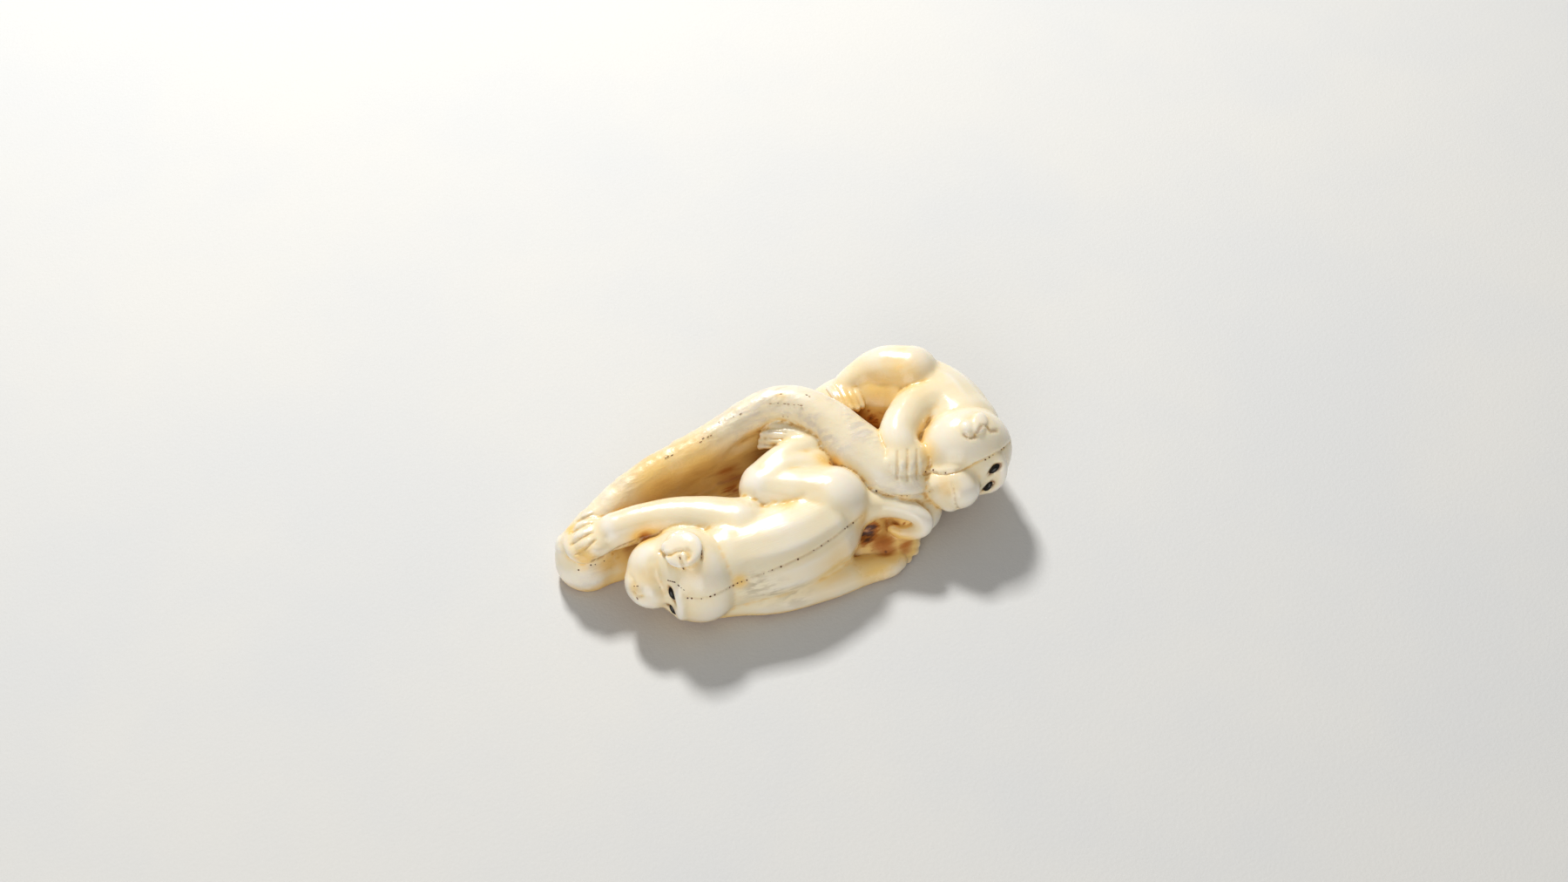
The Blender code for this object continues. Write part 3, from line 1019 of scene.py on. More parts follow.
@dataclass
class Carving:
    """The whole carving: its forms, its fine parts, its cuts, its stains and its painted shade and
    highlights.
    """

    eyes: Sequence["Eye"]
    box: Sequence[Point]
    rough_grain: float = 0.3
    grain: float = 0.16
    clearance: float = 0.01
    triangles: int = 190_000
    crest_height: float = 0.25
    crease_depth: float = 0.08
    bark_edge: float = 0.5
    skin: Skin | None = None
    forms: dict[str, bpy.types.Mesh] = field(default_factory=dict)

    def build(self) -> bpy.types.Object:
        """Knead, cut, thin and stain the carving, and paint shade and highlights into its colour.

        Returns:
            The carving as one object.
        """
        self.forms = {
            "bough": Bough().form(), "near": NearMonkey().form(), "far": FarMonkey().form(),
        }
        rough = Clay()
        for form in self.forms.values():
            rough.add(form)
        base = Skin(rough.knead("rough", self.rough_grain, 1))
        fine = Clay()
        for digit in NEAR_HAND + FAR_HAND + NEAR_TOES + FAR_TOES + LOWER_TOES:
            digit.lay(base, fine)
        for ear in (NEAR_EAR, FAR_EAR):
            ear.lay(base, fine)
        for form in self.forms.values():
            fine.add(form)
        mesh = fine.knead("carving_skin", self.grain, 2)
        drop_bubbles(mesh)
        skin = Skin(mesh)
        LOG.info("kneaded skin: %d points", len(skin.points))
        paths = [(cut, path) for cut in CUTS if (path := cut.path(skin))]
        for cut, path in paths:
            cut.press(skin, path)
        for eye in self.eyes:
            eye.press(skin)
        self.fit(skin)
        skin.write_points()
        skin = self.thinned(skin, paths)
        self.stain_and_shade(skin, paths)
        self.skin = skin
        skin.mesh.shade_smooth()
        return link("carving_skin", skin.mesh)

    def fit(self, skin: Skin) -> None:
        """Draw the skin in where it stands past the box of the solids, and level its rest.

        Args:
            skin: the surface, which is moved.
        """
        low, high = (np.array(corner) for corner in self.box)
        for axis in (0, 1):
            span = skin.points[:, axis]
            share = min(low[axis] / span.min(), high[axis] / span.max())
            if share < 1:
                skin.points[:, axis] *= share * (1 - self.clearance * MM / high[axis])
        skin.points[:, 2] = np.maximum(skin.points[:, 2], 0)

    def inked(self, skin: Skin, paths: Sequence[tuple[Cut, Path]]) -> tuple[np.ndarray, np.ndarray]:
        """The mask of dark stain, and the mask of where the skin has to stay fine.

        Args:
            skin: the surface that is stained.
            paths: the cuts with their lines on it.

        Returns:
            The two masks, a value for each point.
        """
        ink = np.zeros(len(skin.points))
        detail = np.zeros(len(skin.points))
        for cut, path in paths:
            cut.darken(skin, path, ink, detail)
        for eye in self.eyes:
            eye.darken(skin, ink, detail)
        return ink, detail

    def thinned(self, skin: Skin, paths: Sequence[tuple[Cut, Path]]) -> Skin:
        """The skin with fewer triangles where it is plain.

        Args:
            skin: the skin, which is used up.
            paths: the cuts with their lines on it.

        Returns:
            The thinner skin.
        """
        _, detail = self.inked(skin, paths)
        lump = link("carving_skin", skin.mesh)
        plain = lump.vertex_groups.new(name="plain")
        plain.add(np.flatnonzero(detail < 0.5).tolist(), 1, "REPLACE")
        thin = lump.modifiers.new("Thin", "DECIMATE")
        thin.ratio = self.triangles / (2 * len(skin.mesh.polygons))
        thin.vertex_group = "plain"
        return Skin(made_real(lump))

    def stain_and_shade(self, skin: Skin, paths: Sequence[tuple[Cut, Path]]) -> None:
        """Work out stains, painted shade in stained hollows and creases, and painted highlight on rubbed
        crests.

        Args:
            skin: the surface that is stained.
            paths: the cuts with their lines on it.
        """
        ink, _ = self.inked(skin, paths)
        # Painted shade, with the stain that gathers there: the less sky a point sees, the deeper its
        # amber, rust and brown.
        hollow_shade_and_stain = 1 - skin.openness()
        # Painted highlight, as well as rubbed wear: the proudest crests are whitened.
        crest = np.clip(skin.bulge(40) / self.crest_height, 0, 1)
        # Painted shade in creases, with the stain there.
        crease = np.clip(-skin.bulge(16) / self.crease_depth, 0, 1)
        masks = [np.zeros(len(skin.points)) for _ in Tone]
        for stain_and_shade in STAIN_AND_SHADE_PATCHES:
            stain_and_shade.apply(skin, masks)
        bark = self.bark(skin)
        skin.write_mask("stain_and_shade", (*masks, ink))
        # The relief mask holds painted shade in hollows and creases, painted highlight on crests, and
        # the bough's share.
        skin.write_mask("relief", (hollow_shade_and_stain, skin.spread(crest, 6), skin.spread(crease, 4), bark))

    def bark(self, skin: Skin) -> np.ndarray:
        """A share from 0, on a monkey, to 1, on the bough, for each point.

        Args:
            skin: the surface of the carving.

        Returns:
            The shares.
        """
        gaps = []
        for mesh in self.forms.values():
            tree = KDTree(len(mesh.vertices))
            for index, vertex in enumerate(mesh.vertices):
                tree.insert(vertex.co, index)
            tree.balance()
            gaps.append(np.array([tree.find(point)[2] for point in skin.points]))
        bough, *monkeys = gaps
        own = np.clip((np.minimum(*monkeys) - bough) / (self.bark_edge * MM), -1, 1)
        return skin.spread(own * 0.5 + 0.5, 3)


class Nodes:
    """A shader tree, with short words for what is placed in it."""

    def __init__(self, tree: bpy.types.NodeTree) -> None:
        """Start with an empty tree."""
        self.tree = tree
        tree.nodes.clear()

    def add(self, kind: str, inputs: dict | None = None, **settings: object) -> bpy.types.Node:
        """Place a node.

        Args:
            kind: the node's type.
            inputs: values or outputs for its sockets, by name or number.
            settings: its other properties.

        Returns:
            The node.
        """
        made = self.tree.nodes.new(kind)
        for name, value in settings.items():
            setattr(made, name, value)
        for name, value in (inputs or {}).items():
            if isinstance(value, bpy.types.NodeSocket):
                self.tree.links.new(value, made.inputs[name])
            else:
                made.inputs[name].default_value = value
        return made

    def sum(self, operation: str, *values: object) -> bpy.types.NodeSocket:
        """The result of a sum of two or three values.

        Args:
            operation: the kind of sum.
            values: its numbers or outputs, in order.

        Returns:
            The result's socket.
        """
        return self.add(
            "ShaderNodeMath", dict(enumerate(values)), operation=operation
        ).outputs[0]

    def blend(self, share: object, first: object, second: object) -> bpy.types.NodeSocket:
        """One colour going over into another."""
        made = self.add("ShaderNodeMix", {0: share, 6: first, 7: second}, data_type="RGBA")
        return made.outputs[2]

    def band(self, value: object, low: float, high: float, to: float = 1.0) -> bpy.types.NodeSocket:
        """A smooth rise from 0 to a height, as a value goes from low to high.

        Args:
            value: the value that it depends on.
            low: where the rise starts.
            high: where it ends.
            to: the height it ends at.

        Returns:
            The result's socket.
        """
        return self.add(
            "ShaderNodeMapRange", {"Value": value, "From Min": low, "From Max": high, "To Max": to},
            interpolation_type="SMOOTHSTEP",
        ).outputs[0]

    def scaled(self, vector: object, by: object) -> bpy.types.NodeSocket:
        """A vector times a number."""
        inputs = {0: vector, "Scale": by}
        return self.add("ShaderNodeVectorMath", inputs, operation="SCALE").outputs[0]

    def noise(self, where: object, scale: float, detail: float = 3.0) -> bpy.types.NodeSocket:
        """A noise of so many lumps to the millimetre."""
        inputs = {"Vector": where, "Scale": scale, "Detail": detail}
        return self.add("ShaderNodeTexNoise", inputs).outputs["Fac"]


def millimetres(nodes: Nodes, stretch: Point = (1, 1, 1),
                turn: Point = (0, 0, 0)) -> bpy.types.NodeSocket:
    """Object coordinates in millimetres, stretched and turned.

    Args:
        nodes: the tree they are placed in.
        stretch: the scale along each axis.
        turn: the turn about each axis, in radians.

    Returns:
        The coordinates' socket.
    """
    where = nodes.add("ShaderNodeTexCoord").outputs["Object"]
    inputs = {"Vector": where, "Scale": [1000 * part for part in stretch], "Rotation": turn}
    return nodes.add("ShaderNodeMapping", inputs).outputs[0]


def group(name: str, inputs: Sequence[tuple[str, float]], outputs: Sequence[str],
          fill: Callable[[Nodes, bpy.types.Node], Sequence[bpy.types.NodeSocket]]) -> bpy.types.NodeTree:
    """A shader node group for an effect that several finishes share.

    Args:
        name: the group's name.
        inputs: the names of its inputs, with their usual values.
        outputs: the names of its outputs.
        fill: places its nodes and gives back a socket for each output.

    Returns:
        The group.
    """
    tree = bpy.data.node_groups.new(name, "ShaderNodeTree")
    nodes = Nodes(tree)
    for label, value in inputs:
        socket = tree.interface.new_socket(label, in_out="INPUT", socket_type="NodeSocketFloat")
        socket.default_value = value
    for label in outputs:
        tree.interface.new_socket(label, in_out="OUTPUT", socket_type="NodeSocketFloat")
    start = nodes.add("NodeGroupInput")
    end = nodes.add("NodeGroupOutput")
    for label, socket in zip(outputs, fill(nodes, start)):
        tree.links.new(socket, end.inputs[label])
    return tree


def fill_scratches(nodes: Nodes, start: bpy.types.Node) -> list[bpy.types.NodeSocket]:
    """Fine, nearly parallel polishing scratches, lying two ways.

    Args:
        nodes: the group's tree.
        start: its input node.

    Returns:
        The height's socket.
    """
    heights = []
    for turn in ((0.3, 0.2, 0.5), (0.1, 0.5, -0.2)):
        where = millimetres(nodes, (0.3, 9, 9), turn)
        heights.append(nodes.noise(where, 1.0, 2.0))
    total = nodes.sum("ADD", *heights)
    return [nodes.sum("MULTIPLY", total, start.outputs["Depth"])]


def fill_mottle(nodes: Nodes, start: bpy.types.Node) -> list[bpy.types.NodeSocket]:
    """A cloudy unevenness, broad with finer grains in it.

    Args:
        nodes: the group's tree.
        start: its input node.

    Returns:
        The share's socket.
    """
    where = nodes.add("ShaderNodeTexCoord").outputs["Object"]
    scale = nodes.sum("MULTIPLY", start.outputs["Grains to the mm"], 1000)
    inputs = {"Vector": where, "Scale": scale, "Detail": 4.0, "Roughness": 0.6}
    return [nodes.band(nodes.add("ShaderNodeTexNoise", inputs).outputs["Fac"], 0.32, 0.68)]


class Effects:
    """The node groups that the finishes share."""

    def __init__(self) -> None:
        """Build each group once."""
        self.scratches = group("polishing_scratches", [("Depth", 1.0)], ["Height"], fill_scratches)
        self.mottle = group("mottle", [("Grains to the mm", 0.2)], ["Fac"], fill_mottle)

    def use(self, nodes: Nodes, tree: bpy.types.NodeTree, **inputs: float) -> bpy.types.NodeSocket:
        """Place a group in a material, and give back its output."""
        values = {name.replace("_", " "): value for name, value in inputs.items()}
        return nodes.add("ShaderNodeGroup", values, node_tree=tree).outputs[0]


@dataclass(frozen=True)
class Marks:
    """Pits or short cracks strung along lines on the skin, by Geometry Nodes.

    Spacing, width, length and wander are in millimetres. Missing is the share of the marks
    that is left out, and sunk is how deep they lie, in shares of their width.
    """

    name: str
    lines: Sequence[Sequence[Place]]
    spacing: float
    width: float
    length: float
    missing: float
    wander: float
    sunk: float = 0.6
    smallest: float = 0.6
    largest: float = 1.2
    seed: int = 3

    def strings(self, skin: Skin) -> bpy.types.Object:
        """The lines on the skin as strings of edges, each point with its normal.

        Args:
            skin: the surface that they lie on.

        Returns:
            The strings' object.
        """
        points, ways, edges = [], [], []
        for line in self.lines:
            last = None
            for point, normal in skin.traced(line):
                joined = last is not None and (point - last).length < 0.8 * MM
                if joined:
                    edges.append((len(points) - 1, len(points)))
                points.append(point)
                ways.extend(normal)
                last = point
        mesh = bpy.data.meshes.new(self.name)
        mesh.from_pydata(points, edges, [])
        attribute = mesh.attributes.new("way", "FLOAT_VECTOR", "POINT")
        attribute.data.foreach_set("vector", ways)
        return link(self.name, mesh)

    def tree(self) -> bpy.types.NodeTree:
        """The node tree: marks instanced along a resampled line, some left out.

        Returns:
            The tree.
        """
        tree = bpy.data.node_groups.new(f"{self.name}_along_lines", "GeometryNodeTree")
        face = tree.interface
        face.new_socket("Geometry", in_out="INPUT", socket_type="NodeSocketGeometry")
        face.new_socket("Geometry", in_out="OUTPUT", socket_type="NodeSocketGeometry")
        for label in ("Spacing", "Width", "Length", "Missing", "Wander", "Sunk"):
            face.new_socket(label, in_out="INPUT", socket_type="NodeSocketFloat")
        face.new_socket("Seed", in_out="INPUT", socket_type="NodeSocketInt")
        face.new_socket("Material", in_out="INPUT", socket_type="NodeSocketMaterial")
        nodes = Nodes(tree)
        given = nodes.add("NodeGroupInput").outputs
        curve = nodes.add("GeometryNodeMeshToCurve", {0: given["Geometry"]}).outputs[0]
        line = nodes.add("GeometryNodeResampleCurve", {"Curve": curve, "Length": given["Spacing"]},
                         mode="LENGTH").outputs[0]
        spots = nodes.add("GeometryNodeCurveToPoints", {"Curve": line}, mode="EVALUATED")

        def drawn(kind: str, output: int, values: dict) -> bpy.types.NodeSocket:
            """A value drawn for each spot."""
            inputs = {**values, "Seed": given["Seed"]}
            return nodes.add("FunctionNodeRandomValue", inputs, data_type=kind).outputs[output]

        left_out = drawn("BOOLEAN", 3, {"Probability": given["Missing"]})
        kept = nodes.add("GeometryNodeDeleteGeometry", {0: spots.outputs[0], "Selection": left_out})
        off = drawn("FLOAT_VECTOR", 0, {0: (-1, -1, -1), 1: (1, 1, 1)})
        off = nodes.scaled(off, given["Wander"])
        way = nodes.add("GeometryNodeInputNamedAttribute", {"Name": "way"},
                        data_type="FLOAT_VECTOR").outputs[0]
        depth = nodes.sum("MULTIPLY", given["Width"], given["Sunk"])
        deep = nodes.scaled(way, nodes.sum("MULTIPLY", depth, -1.0))
        move = nodes.add("ShaderNodeVectorMath", {0: off, 1: deep}, operation="ADD").outputs[0]
        placed_marks = nodes.add("GeometryNodeSetPosition", {0: kept.outputs[0], "Offset": move})
        size = drawn("FLOAT", 1, {2: self.smallest, 3: self.largest})
        shape = nodes.add("ShaderNodeCombineXYZ",
                          {0: given["Width"], 1: given["Width"], 2: given["Length"]}).outputs[0]
        scale = nodes.scaled(shape, size)
        bead = nodes.add("GeometryNodeMeshIcoSphere", {"Radius": 1.0, "Subdivisions": 2}).outputs[0]
        marks = nodes.add("GeometryNodeInstanceOnPoints", {
            "Points": placed_marks.outputs[0], "Instance": bead,
            "Rotation": spots.outputs["Rotation"], "Scale": scale,
        }).outputs[0]
        real = nodes.add("GeometryNodeRealizeInstances", {0: marks}).outputs[0]
        done = nodes.add("GeometryNodeSetMaterial", {0: real, "Material": given["Material"]})
        nodes.add("NodeGroupOutput", {0: done.outputs[0]})
        return tree

    def build(self, skin: Skin, finish: bpy.types.Material) -> bpy.types.Object:
        """The marks as one plain mesh.

        Args:
            skin: the surface that they are in.
            finish: their finish.

        Returns:
            The marks' object.
        """
        obj = self.strings(skin)
        tree = self.tree()
        strung = obj.modifiers.new("Marks", "NODES")
        strung.node_group = tree
        values = {
            "Spacing": self.spacing * MM, "Width": self.width * MM, "Length": self.length * MM,
            "Missing": self.missing, "Wander": self.wander * MM, "Sunk": self.sunk,
            "Seed": self.seed, "Material": finish,
        }
        for item in tree.interface.items_tree:
            if item.in_out == "INPUT" and item.name in values:
                strung[item.identifier] = values[item.name]
        mesh = made_real(obj)
        mesh.shade_smooth()
        return link(self.name, mesh)


PITS = Marks("ink_pits", (
    (*BACK_LINE, (990, 592)), (*BAND_LINE, (1070, 562)),
    ((1062, 541), (1070, 540), (1077, 542), (1087, 543), (1109, 536), (1135, 525), (1152, 514)),
    ((693, 644), (686, 647), (677, 649), (668, 653), (659, 655)),
), spacing=0.55, width=0.11, length=0.12, missing=0.5, wander=0.07)
DASHES = Marks("ink_dashes", (
    ((767, 666), (774, 668)), ((779, 672), (785, 677)), ((805.5, 632), (805.5, 640)),
    ((728, 672.5), (729, 672.5)), ((731, 672.5), (732, 672.5)), ((731, 686), (731.6, 687)),
    ((757, 674), (757.6, 674)), ((780.5, 640), (781, 641)), ((784, 652), (785, 653)),
), spacing=0.3, width=0.09, length=0.17, missing=0.0, wander=0.01)
CRACKS = Marks("bark_cracks", (
    ((881, 463), (890, 463), (904, 464), (920, 465)), ((897, 452), (917, 452), (930, 455)),
    ((826, 484), (832, 481)), ((800, 508), (808, 504), (816, 500)), ((760, 528), (775, 520)),
    ((842, 478), (850, 474)), ((870, 463), (876, 460)), ((890, 476), (905, 478)),
), spacing=0.42, width=0.045, length=0.17, missing=0.35, wander=0.14, sunk=0.3)


@dataclass(frozen=True)
class IvoryFinish:
    """Polished ivory, stained in hollows and creases, with painted shade there and a painted highlight
    on handled crests.
    """

    cream: Colour = (0.80, 0.68, 0.45, 1)
    pale: Colour = (0.80, 0.73, 0.55, 1)
    # crest is a painted highlight on the proudest crests, as well as their rubbed wear.
    crest: Colour = (0.80, 0.78, 0.74, 1)
    # amber, umber, rust and brown are the stains' colours and also painted shade: amber, rust and brown
    # deepen as a hollow shuts in, amber and umber fill creases.
    amber: Colour = (0.82, 0.55, 0.18, 1)
    umber: Colour = (0.50, 0.25, 0.06, 1)
    rust: Colour = (0.46, 0.15, 0.012, 1)
    brown: Colour = (0.09, 0.028, 0.008, 1)
    ink: Colour = (0.22, 0.075, 0.014, 1)
    grey: Colour = (0.45, 0.38, 0.26, 1)
    bark: Colour = (0.60, 0.53, 0.46, 1)
    roughness: float = 0.17

    def make(self, effects: Effects) -> bpy.types.Material:
        """The finish as a material.

        Args:
            effects: the node groups that finishes share.

        Returns:
            The material.
        """
        material = bpy.data.materials.new("creamy_ivory")
        material.use_nodes = True
        nodes = Nodes(material.node_tree)
        stain_and_shade = nodes.add("ShaderNodeAttribute", attribute_name="stain_and_shade")
        relief = nodes.add("ShaderNodeAttribute", attribute_name="relief")
        zones = nodes.add("ShaderNodeSeparateColor", {0: stain_and_shade.outputs["Color"]}).outputs
        shape = nodes.add("ShaderNodeSeparateColor", {0: relief.outputs["Color"]}).outputs
        bark = relief.outputs["Alpha"]
        cloud = effects.use(nodes, effects.mottle, Grains_to_the_mm=0.16)
        speckle = effects.use(nodes, effects.mottle, Grains_to_the_mm=1.4)
        fibre = nodes.noise(millimetres(nodes, (0.15, 1.2, 1.2)), 1.0)

        streak = nodes.noise(millimetres(nodes, (0.5, 1.6, 1.6), (0.2, 0.1, 0.2)), 1.0, 6.0)
        patches = nodes.band(nodes.noise(millimetres(nodes), 0.22, 5.0), 0.4, 0.58)
        worn = nodes.sum("MULTIPLY", bark, patches)
        uneven = nodes.sum("MULTIPLY_ADD", fibre, 0.6, 0.7)
        broken = nodes.sum("MULTIPLY_ADD", streak, 1.6, 0.15)
        # Painted shade in hollows, over the stain gathered there.
        sunk = nodes.sum("MULTIPLY", nodes.band(shape[0], 0.25, 0.95, 0.8), uneven)
        golden = nodes.sum("MULTIPLY", zones[0], uneven)
        dark = nodes.sum("MULTIPLY", zones[1], broken)
        depth = nodes.sum("MAXIMUM", sunk, nodes.sum("MAXIMUM", golden, dark))
        # Painted shade in creases, with the stain there, broken by streaks.
        crease = nodes.sum("MULTIPLY", shape[2], nodes.band(streak, 0.25, 0.62))

        colour = nodes.blend(nodes.sum("MULTIPLY", cloud, 0.8), self.cream, self.pale)
        for share, over in (
            (nodes.sum("MULTIPLY", worn, nodes.band(fibre, 0.35, 0.65, 0.7)), self.bark),
            # Painted highlight, with rubbed wear: the crests are whitened.
            (nodes.band(shape[1], 0.05, 0.8, 0.8), self.crest),
            (nodes.sum("MULTIPLY", zones[2], nodes.band(streak, 0.4, 0.62)), self.grey),
            # Amber, rust and brown: the stains, and painted shade in hollows.
            (nodes.band(depth, 0.0, 0.6), self.amber),
            # Amber and umber in creases: painted shade, with the stain there.
            (nodes.band(crease, 0.0, 0.7, 0.75), self.amber),
            (nodes.band(crease, 0.4, 1.0, 0.7), self.umber),
            (nodes.band(depth, 0.55, 0.95), self.rust),
            (nodes.band(depth, 0.9, 1.25), self.brown),
            (nodes.sum("MULTIPLY", stain_and_shade.outputs["Alpha"], nodes.band(speckle, 0.0, 0.6)), self.ink),
        ):
            colour = nodes.blend(share, colour, over)

        rough = self.roughness
        for cause, amount in ((cloud, 0.08), (bark, 0.12), (nodes.band(depth, 0, 1), 0.15)):
            rough = nodes.sum("MULTIPLY_ADD", cause, amount, rough)
        height = effects.use(nodes, effects.scratches, Depth=1.0)
        bump = nodes.add("ShaderNodeBump", {"Height": height, "Strength": 0.24, "Distance": 0.00005})
        bump = nodes.add("ShaderNodeBump", {
            "Height": nodes.sum("MULTIPLY", streak, worn), "Strength": 0.35, "Distance": 0.0004,
            "Normal": bump.outputs[0],
        })
        shader = nodes.add("ShaderNodeBsdfPrincipled", {
            "Base Color": colour, "Roughness": rough, "IOR": 1.54, "Normal": bump.outputs[0],
            "Subsurface Weight": 0.2, "Subsurface Radius": (1.0, 0.6, 0.3),
            "Subsurface Scale": 0.001, "Coat Weight": 0.15, "Coat Roughness": 0.15,
        })
        nodes.add("ShaderNodeOutputMaterial", {"Surface": shader.outputs[0]})
        return material


@dataclass(frozen=True)
class PlainFinish:
    """A clouded finish of one material, with a fine relief.

    Clouds, grain and their sizes are in lumps to the millimetre, and relief_height is in metres.
    """

    name: str
    colour: Colour
    other: Colour
    clouds: float
    roughness: float
    share: float = 1.0
    unevenness: float = 0.0
    grain: float = 0.0
    relief: float = 0.3
    relief_height: float = 0.00003
    ior: float = 1.5
    shine: float = 0.5

    def make(self, effects: Effects) -> bpy.types.Material:
        """The finish as a material.

        Args:
            effects: the node groups that finishes share.

        Returns:
            The material.
        """
        material = bpy.data.materials.new(self.name)
        material.use_nodes = True
        nodes = Nodes(material.node_tree)
        cloud = effects.use(nodes, effects.mottle, Grains_to_the_mm=self.clouds)
        share = cloud if self.share == 1 else nodes.sum("MULTIPLY", cloud, self.share)
        colour = nodes.blend(share, self.colour, self.other)
        rough = self.roughness
        if self.unevenness:
            rough = nodes.sum("ADD", nodes.sum("MULTIPLY", cloud, self.unevenness), rough)
        if self.grain:
            height = effects.use(nodes, effects.mottle, Grains_to_the_mm=self.grain)
        else:
            height = effects.use(nodes, effects.scratches, Depth=0.5)
        bump = nodes.add("ShaderNodeBump", {
            "Height": height, "Strength": self.relief, "Distance": self.relief_height,
        })
        shader = nodes.add("ShaderNodeBsdfPrincipled", {
            "Base Color": colour, "Roughness": rough, "IOR": self.ior, "Normal": bump.outputs[0],
            "Specular IOR Level": self.shine,
        })
        nodes.add("ShaderNodeOutputMaterial", {"Surface": shader.outputs[0]})
        return material


HORN = PlainFinish(
    "dark_horn", (0.003, 0.0025, 0.002, 1), (0.012, 0.007, 0.004, 1), clouds=1.2, share=0.5,
    roughness=0.12, unevenness=0.06, relief=0.05, ior=1.45, shine=0.35,
)
INK = PlainFinish(
    "ink_stain", (0.05, 0.018, 0.007, 1), (0.16, 0.065, 0.022, 1), clouds=1.5,
    roughness=0.5, unevenness=0.2, grain=9.0,
)
DUST = PlainFinish(
    "crack_dust", (0.13, 0.06, 0.025, 1), (0.30, 0.17, 0.08, 1), clouds=1.5,
    roughness=0.5, unevenness=0.2, grain=9.0,
)
PAPER = PlainFinish(
    "pale_paper", (0.61, 0.61, 0.60, 1), (0.58, 0.59, 0.60, 1), clouds=0.02,
    roughness=0.8, grain=2.0, relief=0.15, relief_height=0.0001,
)


@dataclass(frozen=True)
class Eye:
    """An inlaid eye: an almond of dark horn, domed and glossy, in a carved socket.

    The reaches, and the width of the stained seam, are shares of the eye's own size.
    """

    node: str
    head: Head
    sideways: int
    slant: float
    length: float = 1.9
    width: float = 0.85
    depth: float = 1.5
    socket_depth: float = 0.3
    socket_reach: float = 1.5
    seam_width: float = 0.25
    fine_reach: float = 2.2
    face_depth: float = 2.5

    def bearings(self) -> Matrix:
        """The directions of the eye's width, length and depth, as columns.

        Returns:
            The matrix of the three directions.
        """
        turn = Quaternion(self.head.ahead, math.radians(self.slant))
        across, along = turn @ self.head.up, turn @ self.head.side
        return Matrix((across, along, self.head.ahead)).transposed()

    def build(self) -> bpy.types.Object:
        """The eye as a finely rounded almond, where its bed is.

        Returns:
            The eye's object.
        """
        mesh = bmesh.new()
        size = Matrix.Diagonal((self.width / 2 * MM, self.length / 2 * MM, self.depth / 2 * MM, 1))
        place = Matrix.Translation(placed(self.head.eye(self.sideways)))
        bmesh.ops.create_uvsphere(
            mesh, u_segments=48, v_segments=32, radius=1,
            matrix=place @ self.bearings().to_4x4() @ size,
        )
        data = bpy.data.meshes.new(f"{self.node}_inlay")
        mesh.to_mesh(data)
        mesh.free()
        data.shade_smooth()
        return link(f"{self.node}_inlay", data)

    def reach(self, skin: Skin) -> np.ndarray:
        """How far each point of the skin lies out from the eye, 1 being the eye's rim.

        Args:
            skin: the surface round the eye.

        Returns:
            The distances, in shares of the eye's size.
        """
        middle = np.array(placed(self.head.eye(self.sideways)))
        local = (skin.points - middle) @ np.array(self.bearings()) / MM
        flat = np.hypot(local[:, 0] / (self.width / 2), local[:, 1] / (self.length / 2))
        return np.where(abs(local[:, 2]) < self.face_depth, flat, np.inf)

    def press(self, skin: Skin) -> None:
        """Hollow out the socket round the eye.

        Args:
            skin: the surface, which is moved.
        """
        reach = self.reach(skin)
        sink = self.socket_depth * np.exp(-((reach / self.socket_reach) ** 4))
        skin.points -= np.array(self.head.ahead) * (sink * MM)[:, None]

    def darken(self, skin: Skin, ink: np.ndarray, detail: np.ndarray) -> None:
        """Let dark stain into the seam round the eye.

        Args:
            skin: the surface round the eye.
            ink: the mask of dark stain, which grows.
            detail: the mask of where the skin stays fine, which grows.
        """
        reach = self.reach(skin)
        np.maximum(ink, 0.9 * np.exp(-(((reach - 1) / self.seam_width) ** 2)), out=ink)
        np.maximum(detail, reach < self.fine_reach, out=detail)


@dataclass(frozen=True)
class Lamp:
    """A square of soft light, aimed at the carving."""

    name: str
    place: Point
    size: float
    power: float
    colour: tuple[float, float, float] = (1, 1, 1)

    def make(self) -> bpy.types.Object:
        """The lamp, in the picture's own bearings turned to the carving's.

        Returns:
            The lamp's object.
        """
        light = bpy.data.lights.new(self.name, "AREA")
        light.size = self.size
        light.energy = self.power
        light.color = self.colour
        obj = link(self.name, light)
        turn = Matrix.Rotation(-math.radians(VIEW.turn), 3, "Z")
        obj.location = turn @ Vector(self.place)
        obj.rotation_mode = "QUATERNION"
        obj.rotation_quaternion = (-obj.location).to_track_quat("-Z", "Y")
        return obj


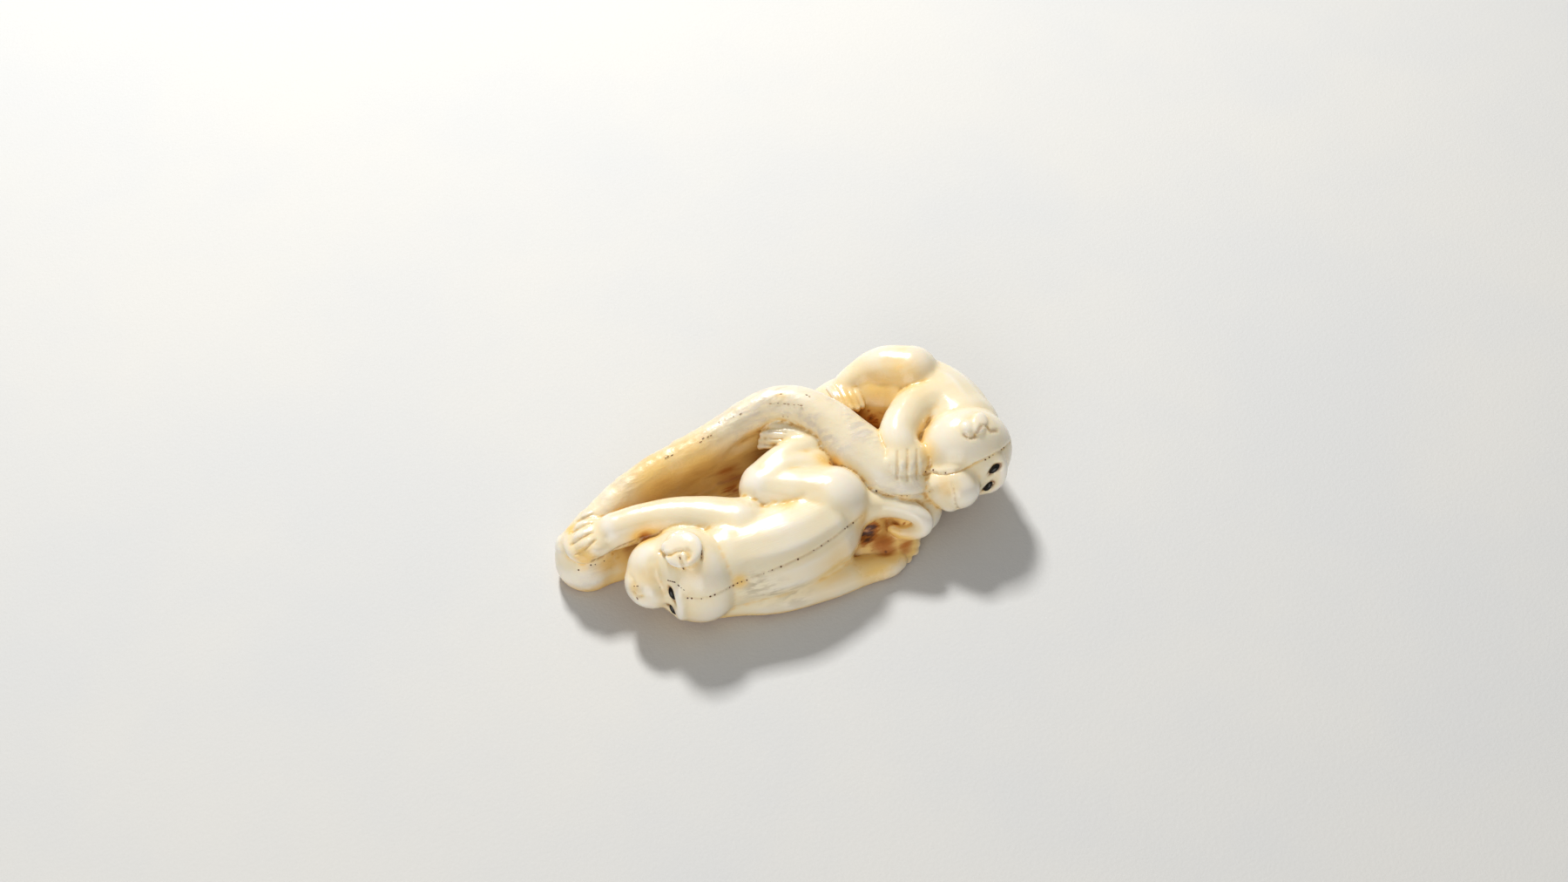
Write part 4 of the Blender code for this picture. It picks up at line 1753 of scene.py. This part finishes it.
@dataclass
class Studio:
    """A pale floor, a window light from behind and soft light from the front."""

    lamps: Sequence[Lamp] = (
        Lamp("window", (-0.10, 0.30, 0.36), 0.07, 2.5, (1.0, 0.98, 0.94)),
        Lamp("front_fill", (-0.15, -0.6, 0.24), 0.5, 2.1, (1.0, 0.98, 0.95)),
    )
    floor_size: float = 3.0

    def build(self, finish: bpy.types.Material) -> None:
        """Lay the floor and hang the lights.

        Args:
            finish: the floor's finish.
        """
        mesh = bmesh.new()
        bmesh.ops.create_grid(mesh, x_segments=1, y_segments=1, size=self.floor_size / 2)
        data = bpy.data.meshes.new("floor")
        mesh.to_mesh(data)
        mesh.free()
        data.materials.append(finish)
        link("floor", data)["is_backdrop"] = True
        for lamp in self.lamps:
            lamp.make()
        world = bpy.data.worlds.new("room")
        bpy.context.scene.world = world
        world.use_nodes = True
        sky = world.node_tree.nodes["Background"]
        sky.inputs[0].default_value = (1.0, 0.98, 0.94, 1)
        sky.inputs[1].default_value = 0.34
        bpy.context.scene.view_settings.view_transform = "Standard"


def main() -> None:
    """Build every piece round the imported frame."""
    logging.basicConfig(level=logging.INFO)
    cad_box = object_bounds()
    VIEW.make()
    effects = Effects()
    ivory = IvoryFinish().make(effects)
    horn = HORN.make(effects)
    Studio().build(PAPER.make(effects))
    eyes = [
        Eye(f"eye_{monkey}_{where}", head, sideways, slant)
        for monkey, head, where, sideways, slant in (
            ("near", NEAR_HEAD, "upper", 1, 40), ("near", NEAR_HEAD, "lower", -1, 40),
            ("far", FAR_HEAD, "upper", 1, -40), ("far", FAR_HEAD, "lower", -1, -20),
        )
    ]
    carving = Carving(eyes, cad_box)
    body = carving.build()
    body.data.materials.append(ivory)
    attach(body, BODY)
    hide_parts("carving")
    LOG.info("%s: %d faces", body.name, len(body.data.polygons))
    for eye in eyes:
        inlay = eye.build()
        inlay.data.materials.append(horn)
        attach(inlay, BODY)
        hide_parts(eye.node)
        LOG.info("%s: %d faces", inlay.name, len(inlay.data.polygons))
    ink, dust = INK.make(effects), DUST.make(effects)
    for marks, finish in ((PITS, ink), (DASHES, ink), (CRACKS, dust)):
        piece = marks.build(carving.skin, finish)
        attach(piece, BODY)
        LOG.info("%s: %d faces", piece.name, len(piece.data.polygons))


if __name__ == "__main__":
    main()
